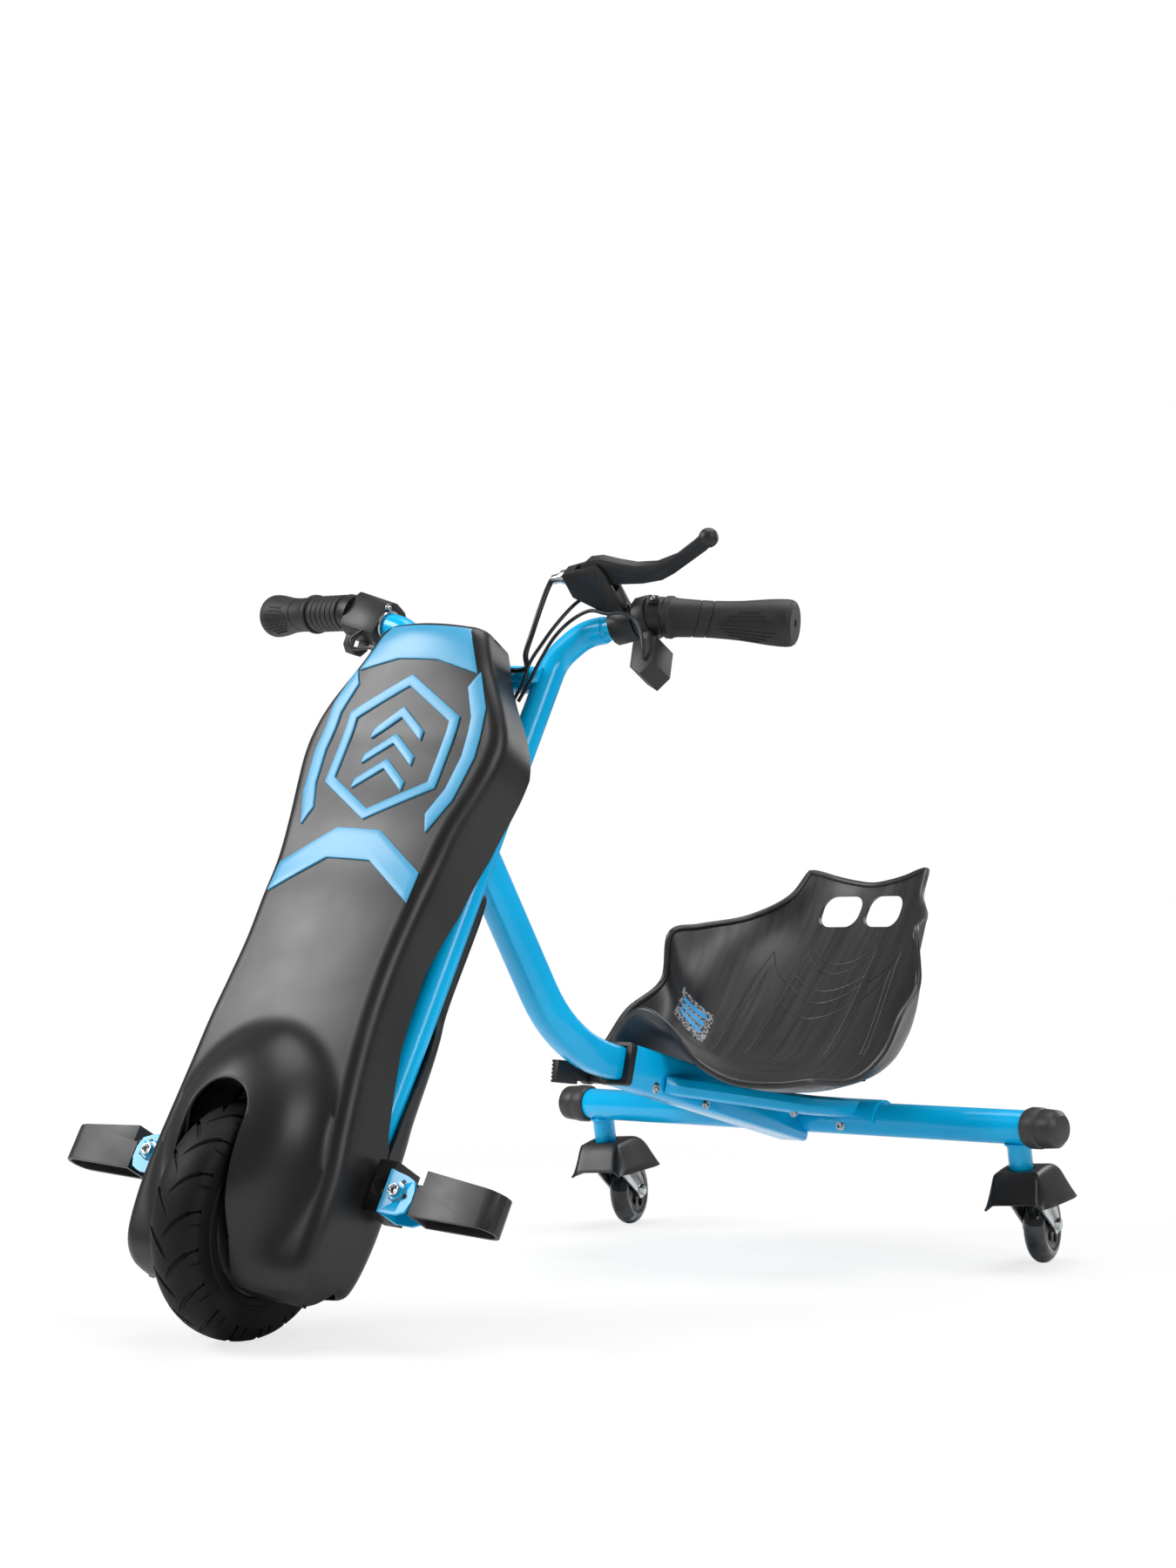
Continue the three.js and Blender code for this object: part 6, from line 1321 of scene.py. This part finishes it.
# %% [markdown]
# Clamps, rings, screws and the cable's adjuster are small turned or milled pieces on the bar. They are bright
# against the black controls. The lever ends in a round knob.

# %% Silver and black fittings on the bar
switch_screw, housing_screw = (2.5, 2, 3.2), (2.6, 2.4, 3.4)
clamp_profile = [(11.3, -6), (17.4, -6), (18.2, -5), (18.2, 8.6), (17.4, 9.8), (11.3, 9.8)]
clamp_ring = turned("switch_ring_clamp", clamp_profile, 56)
clamp_ear = block("clamp_ear", (9, 7, 9), (2, -17.5, 6), 1.2)
mount(joined("switch_ring_clamp", clamp_ring, clamp_ear), grip_frames[1], "switch_box")
hex_bolt("switch_clamp_screw", "switch_box", (2, -21.8, 6), grip_frames[1], "-Y", switch_screw)
ring = turned("housing_steel_ring", [(11.3, -1.5), (14.2, -1.5), (14.8, 0), (14.2, 1.5), (11.3, 1.5)], 48)
mount(ring, housing_frame @ shift_mm((22.6, 0, 0)), "throttle_housing", bolt_steel)
nose = turned("housing_nose", [(11.4, -34), (16.4, -34), (17.4, -32), (18.4, -22), (11.4, -22)], 48)
mount(nose, housing_frame, "throttle_housing")
for number, (y, z) in enumerate(((-13, 12), (10, -15))):
    hex_bolt("housing_screw_%d" % number, "throttle_housing", (23, y, z), housing_frame, "X", housing_screw)
print("clamp ring:", len(clamp_ring.data.polygons), "faces")

# %% Lever knob, adjuster and screws
lever_frame = axes_at(
    (0.140955, -0.103668, 0.664393), (0.989988, 0.105413, 0.093868), (0.007920, 0.622489, -0.782588)
)
knob_radius, knob_at = 8.8, (127, -7, 0)
select_none()
bpy.ops.mesh.primitive_uv_sphere_add(segments=32, ring_count=16, radius=knob_radius * mm, location=(0, 0, 0))
knob = mount(smooth(just_added("lever_knob"), 60), lever_frame @ shift_mm(knob_at), "brake_lever")
barrel_profile = [
    (1.7, -48.6), (4, -48.6), (4.4, -47.6), (4.4, -40.4), (5, -40), (5, -37), (6.7, -36.4), (6.7, -31.5),
    (1.7, -31.5),
]
mount(turned("adjuster_barrel", barrel_profile, 32), lever_frame, "brake_perch", bolt_steel)
pivot_screw = rod("lever_pivot_screw", 3.6, 2.2, (0, 0, 7.4), "Z", 24, 0.5)
mount(pivot_screw, lever_frame, "brake_perch", machined_steel)
clamp_screw = rod("perch_clamp_screw", 2.8, 3, (0, 0, 0), "Y", 6, 0.4)
mount(clamp_screw, perch_frame @ shift_mm((0, -18, 6)), "brake_perch", bolt_steel)
print("knob:", len(knob.data.polygons), "faces")

# %% [markdown]
# Bright bolts stand out against the blue paint. The peg pivots have a broad washer, and beside it two small
# holes, drawn as thin black discs of painted shade. Smaller bolts hold the braces and the rail. A weld bead
# runs round each stub on the axle tube.

# %% Bolts and weld beads
pivot_bolt, rail_bolt, brace_bolt, axle_bolt = (6.2, 5, 8.6), (3.6, 2.6, 5.6), (4.2, 3.2, 6), (4.2, 3, 6)
pivot_across, pivot_up, hole_circle, hole_angles = 138, 46, 9.8, (70, -17)
stub_at, stub_lean = (277, 752.6, 124), math.radians(caster_lean)
for side, label in both_sides:
    pivot_at = (side * pivot_across, -24.2, pivot_up)
    hex_bolt("peg_pivot_bolt_" + label, "peg_bracket_" + label, pivot_at, steered, "-Y", pivot_bolt)
    for number, angle in enumerate(hole_angles):
        hole_x = side * (pivot_across + hole_circle * math.cos(math.radians(angle)))
        hole_z = pivot_up + hole_circle * math.sin(math.radians(angle))
        # Each lock hole is a thin black disc laid on the bracket: painted shade, not a cut hole.
        hole_shade_disc = rod("painted_hole_shade_%s_%d" % (label, number), 2, 0.4, (hole_x, -20.2, hole_z), "Y", 20, 0)
        mount(hole_shade_disc, steered, "peg_bracket_" + label, control_nylon)
    clamp_bolt = rod("peg_clamp_screw_" + label, 3.4, 2.4, (side * 121, -14.5, pivot_up), "Y", 6, 0.4)
    mount(clamp_bolt, steered, "peg_clamp_" + label, machined_steel)
    bead = smooth(slanted_ring(0, 12.6, 0, 1.4), 60)
    bead.name = "stub_weld_" + label
    lean = Matrix.Rotation(stub_lean, 4, "X") @ turn_to["X"]
    mount(bead, rear_shift @ shift_mm(on_side(side, stub_at)) @ lean, "axle_tube")

for number, (y, z) in enumerate(((508, 183), (583, 163))):
    hex_bolt("rail_bolt_%d" % number, "box_rail", (20.6, y, z), rear_shift, "X", rail_bolt)
hex_bolt("brace_bolt_left", "side_brace_left", (75, 656, 153), rear_shift, "X", brace_bolt)
for side, label in both_sides:
    hex_bolt("axle_bolt_" + label, "axle_tube", (side * 72, 732, 134), rear_shift, "-Y", axle_bolt)

# %% [markdown]
# The caster fenders are small arches. The table gives, for each cross row, its place along, the top and its
# half width, the bottom and its half width. A soft shoulder joins the side to the top in every row.

# %% Caster fenders
fender_rows = [
    [0, 0.6, 0.6, 0.7, 0.82], [0.15, 0, 0.62, 0.76, 0.92], [0.3, 0, 0.62, 0.8, 0.96],
    [0.52, 0.04, 0.62, 0.86, 1], [0.7, 0.2, 0.6, 0.92, 0.98], [0.86, 0.5, 0.52, 0.97, 0.88],
    [1, 0.92, 0.4, 1, 0.62],
]
fender_back, fender_length, fender_top, fender_drop, fender_half = -39, 130, -22, 46, 36
fender_wall, stub_room, shoulder_shares = 2.5, 13.5, (0, 0.2, 0.4, 0.6, 0.8, 1)


def fender_net():
    net = []
    for along, top, top_half, bottom, bottom_half in smooth_rows(fender_rows, 6):
        y = (fender_back + fender_length * along) * mm
        high, low = ((fender_top - fender_drop * down) * mm for down in (max(top, 0), bottom))
        foot = Vector((fender_half * mm * bottom_half, y, low))
        corner = Vector((fender_half * mm * top_half, y, high))
        below, beside = corner.lerp(foot, 0.16), Vector((corner.x * 0.8, y, high))
        half_row = [foot.lerp(below, t / 4) for t in range(4)]
        for t in shoulder_shares:
            half_row.append((1 - t) ** 2 * below + 2 * t * (1 - t) * corner + t * t * beside)
        half_row += [Vector((beside.x * (1 - t / 3), y, high)) for t in (1, 2)]
        net.append(half_row + [Vector((0, y, high))] + [Vector((-p.x, p.y, p.z)) for p in reversed(half_row)])
    return net


first_arch = face_towards(laid_grid("first_arch", fender_net()), 2, 1)
apply_modifier(first_arch, "SOLIDIFY", thickness=fender_wall * mm, offset=-1)
carve(first_arch, rod("stub_room", stub_room, 20, (0, 0, fender_top), "Z", 40, 0))
smooth(round_edges(weld(first_arch), 0.6, 55), 35)
for label, spot in fork_spots.items():
    arch = copy_of(first_arch, "fender_moulded_" + label)
    mount(arch, caster_axes(spot, label), "caster_fender_" + label, replaced=True)
remove_all([first_arch])
print("fenders:", len(arch.data.polygons), "faces each")

# %% [markdown]
# A printed sticker lies in the right side of the seat: a grey speckled ground, with three plain blue strokes
# over it. Each is a thin sheet laid just over the seat's net, so it follows the same curve.

# %% Sticker vinyl and ink
specks_per_metre, blots_per_metre = 380, 90
sticker_print, sticker_tree, sticker_shader, coordinates = start_material("sticker_printed_vinyl", 0.4)
specks = add_node(sticker_tree, "ShaderNodeTexVoronoi", {"Scale": specks_per_metre}, {"Vector": coordinates})
two_tone(sticker_tree, sticker_shader, specks.outputs["Distance"], "#101012", "#8a8c90", 0.35, 0.62)
ink, ink_tree, ink_shader, coordinates = start_material("sticker_blue_ink", 0.38)
ink_clouds = add_node(ink_tree, "ShaderNodeTexNoise", {"Scale": blots_per_metre}, {"Vector": coordinates})
two_tone(ink_tree, ink_shader, ink_clouds.outputs["Fac"], "#2f8fcc", "#3ba2e0")
print("sticker finishes:", sticker_print.name, ink.name)

# %% Seat sticker
sticker_wall, ground_lift, stroke_lift = 0.2, 0.25, 0.5
sticker_corners = [(31.2, 4.4), (38.6, 4.8), (38.4, 10.4), (32.8, 10.6)]
stroke_corners = [(0, 5.4), (0.8, 5.2), (1.7, 9.2), (0.9, 9.5)]
strokes, first_stroke, stroke_pitch = 3, 33.1, 1.5


def seat_at(row, column, lift_mm):
    i, j = int(row), int(column)
    s, t = row - i, column - j
    a, b, c, d = seat_net[i][j], seat_net[i][j + 1], seat_net[i + 1][j], seat_net[i + 1][j + 1]
    normal = (b - a).cross(c - a).normalized()
    if normal.z < 0:
        normal.negate()
    return a * (1 - s) * (1 - t) + b * (1 - s) * t + c * s * (1 - t) + d * s * t + normal * lift_mm * mm


def seat_sheet(name, corners, lift_mm, material, count):
    (r0, c0), (r1, c1), (r2, c2), (r3, c3) = corners
    net = []
    for s in (i / count for i in range(count + 1)):
        net.append([])
        for t in (j / count for j in range(count + 1)):
            row = (r0 * (1 - t) + r1 * t) * (1 - s) + (r3 * (1 - t) + r2 * t) * s
            column = (c0 * (1 - t) + c1 * t) * (1 - s) + (c3 * (1 - t) + c2 * t) * s
            net[-1].append(seat_at(row, column, lift_mm))
    sheet = face_towards(laid_grid(name, net), 2, 1)
    apply_modifier(sheet, "SOLIDIFY", thickness=sticker_wall * mm, offset=1)
    return mount(smooth(sheet, 40), rear_shift, "seat_shell", material)


seat_sheet("seat_sticker", sticker_corners, ground_lift, sticker_print, 10)
for number in range(strokes):
    start = first_stroke + stroke_pitch * number
    corners = [(start + row, column) for row, column in stroke_corners]
    seat_sheet("seat_sticker_stroke_%d" % number, corners, stroke_lift, ink, 6)
print("sticker pieces:", 1 + strokes)
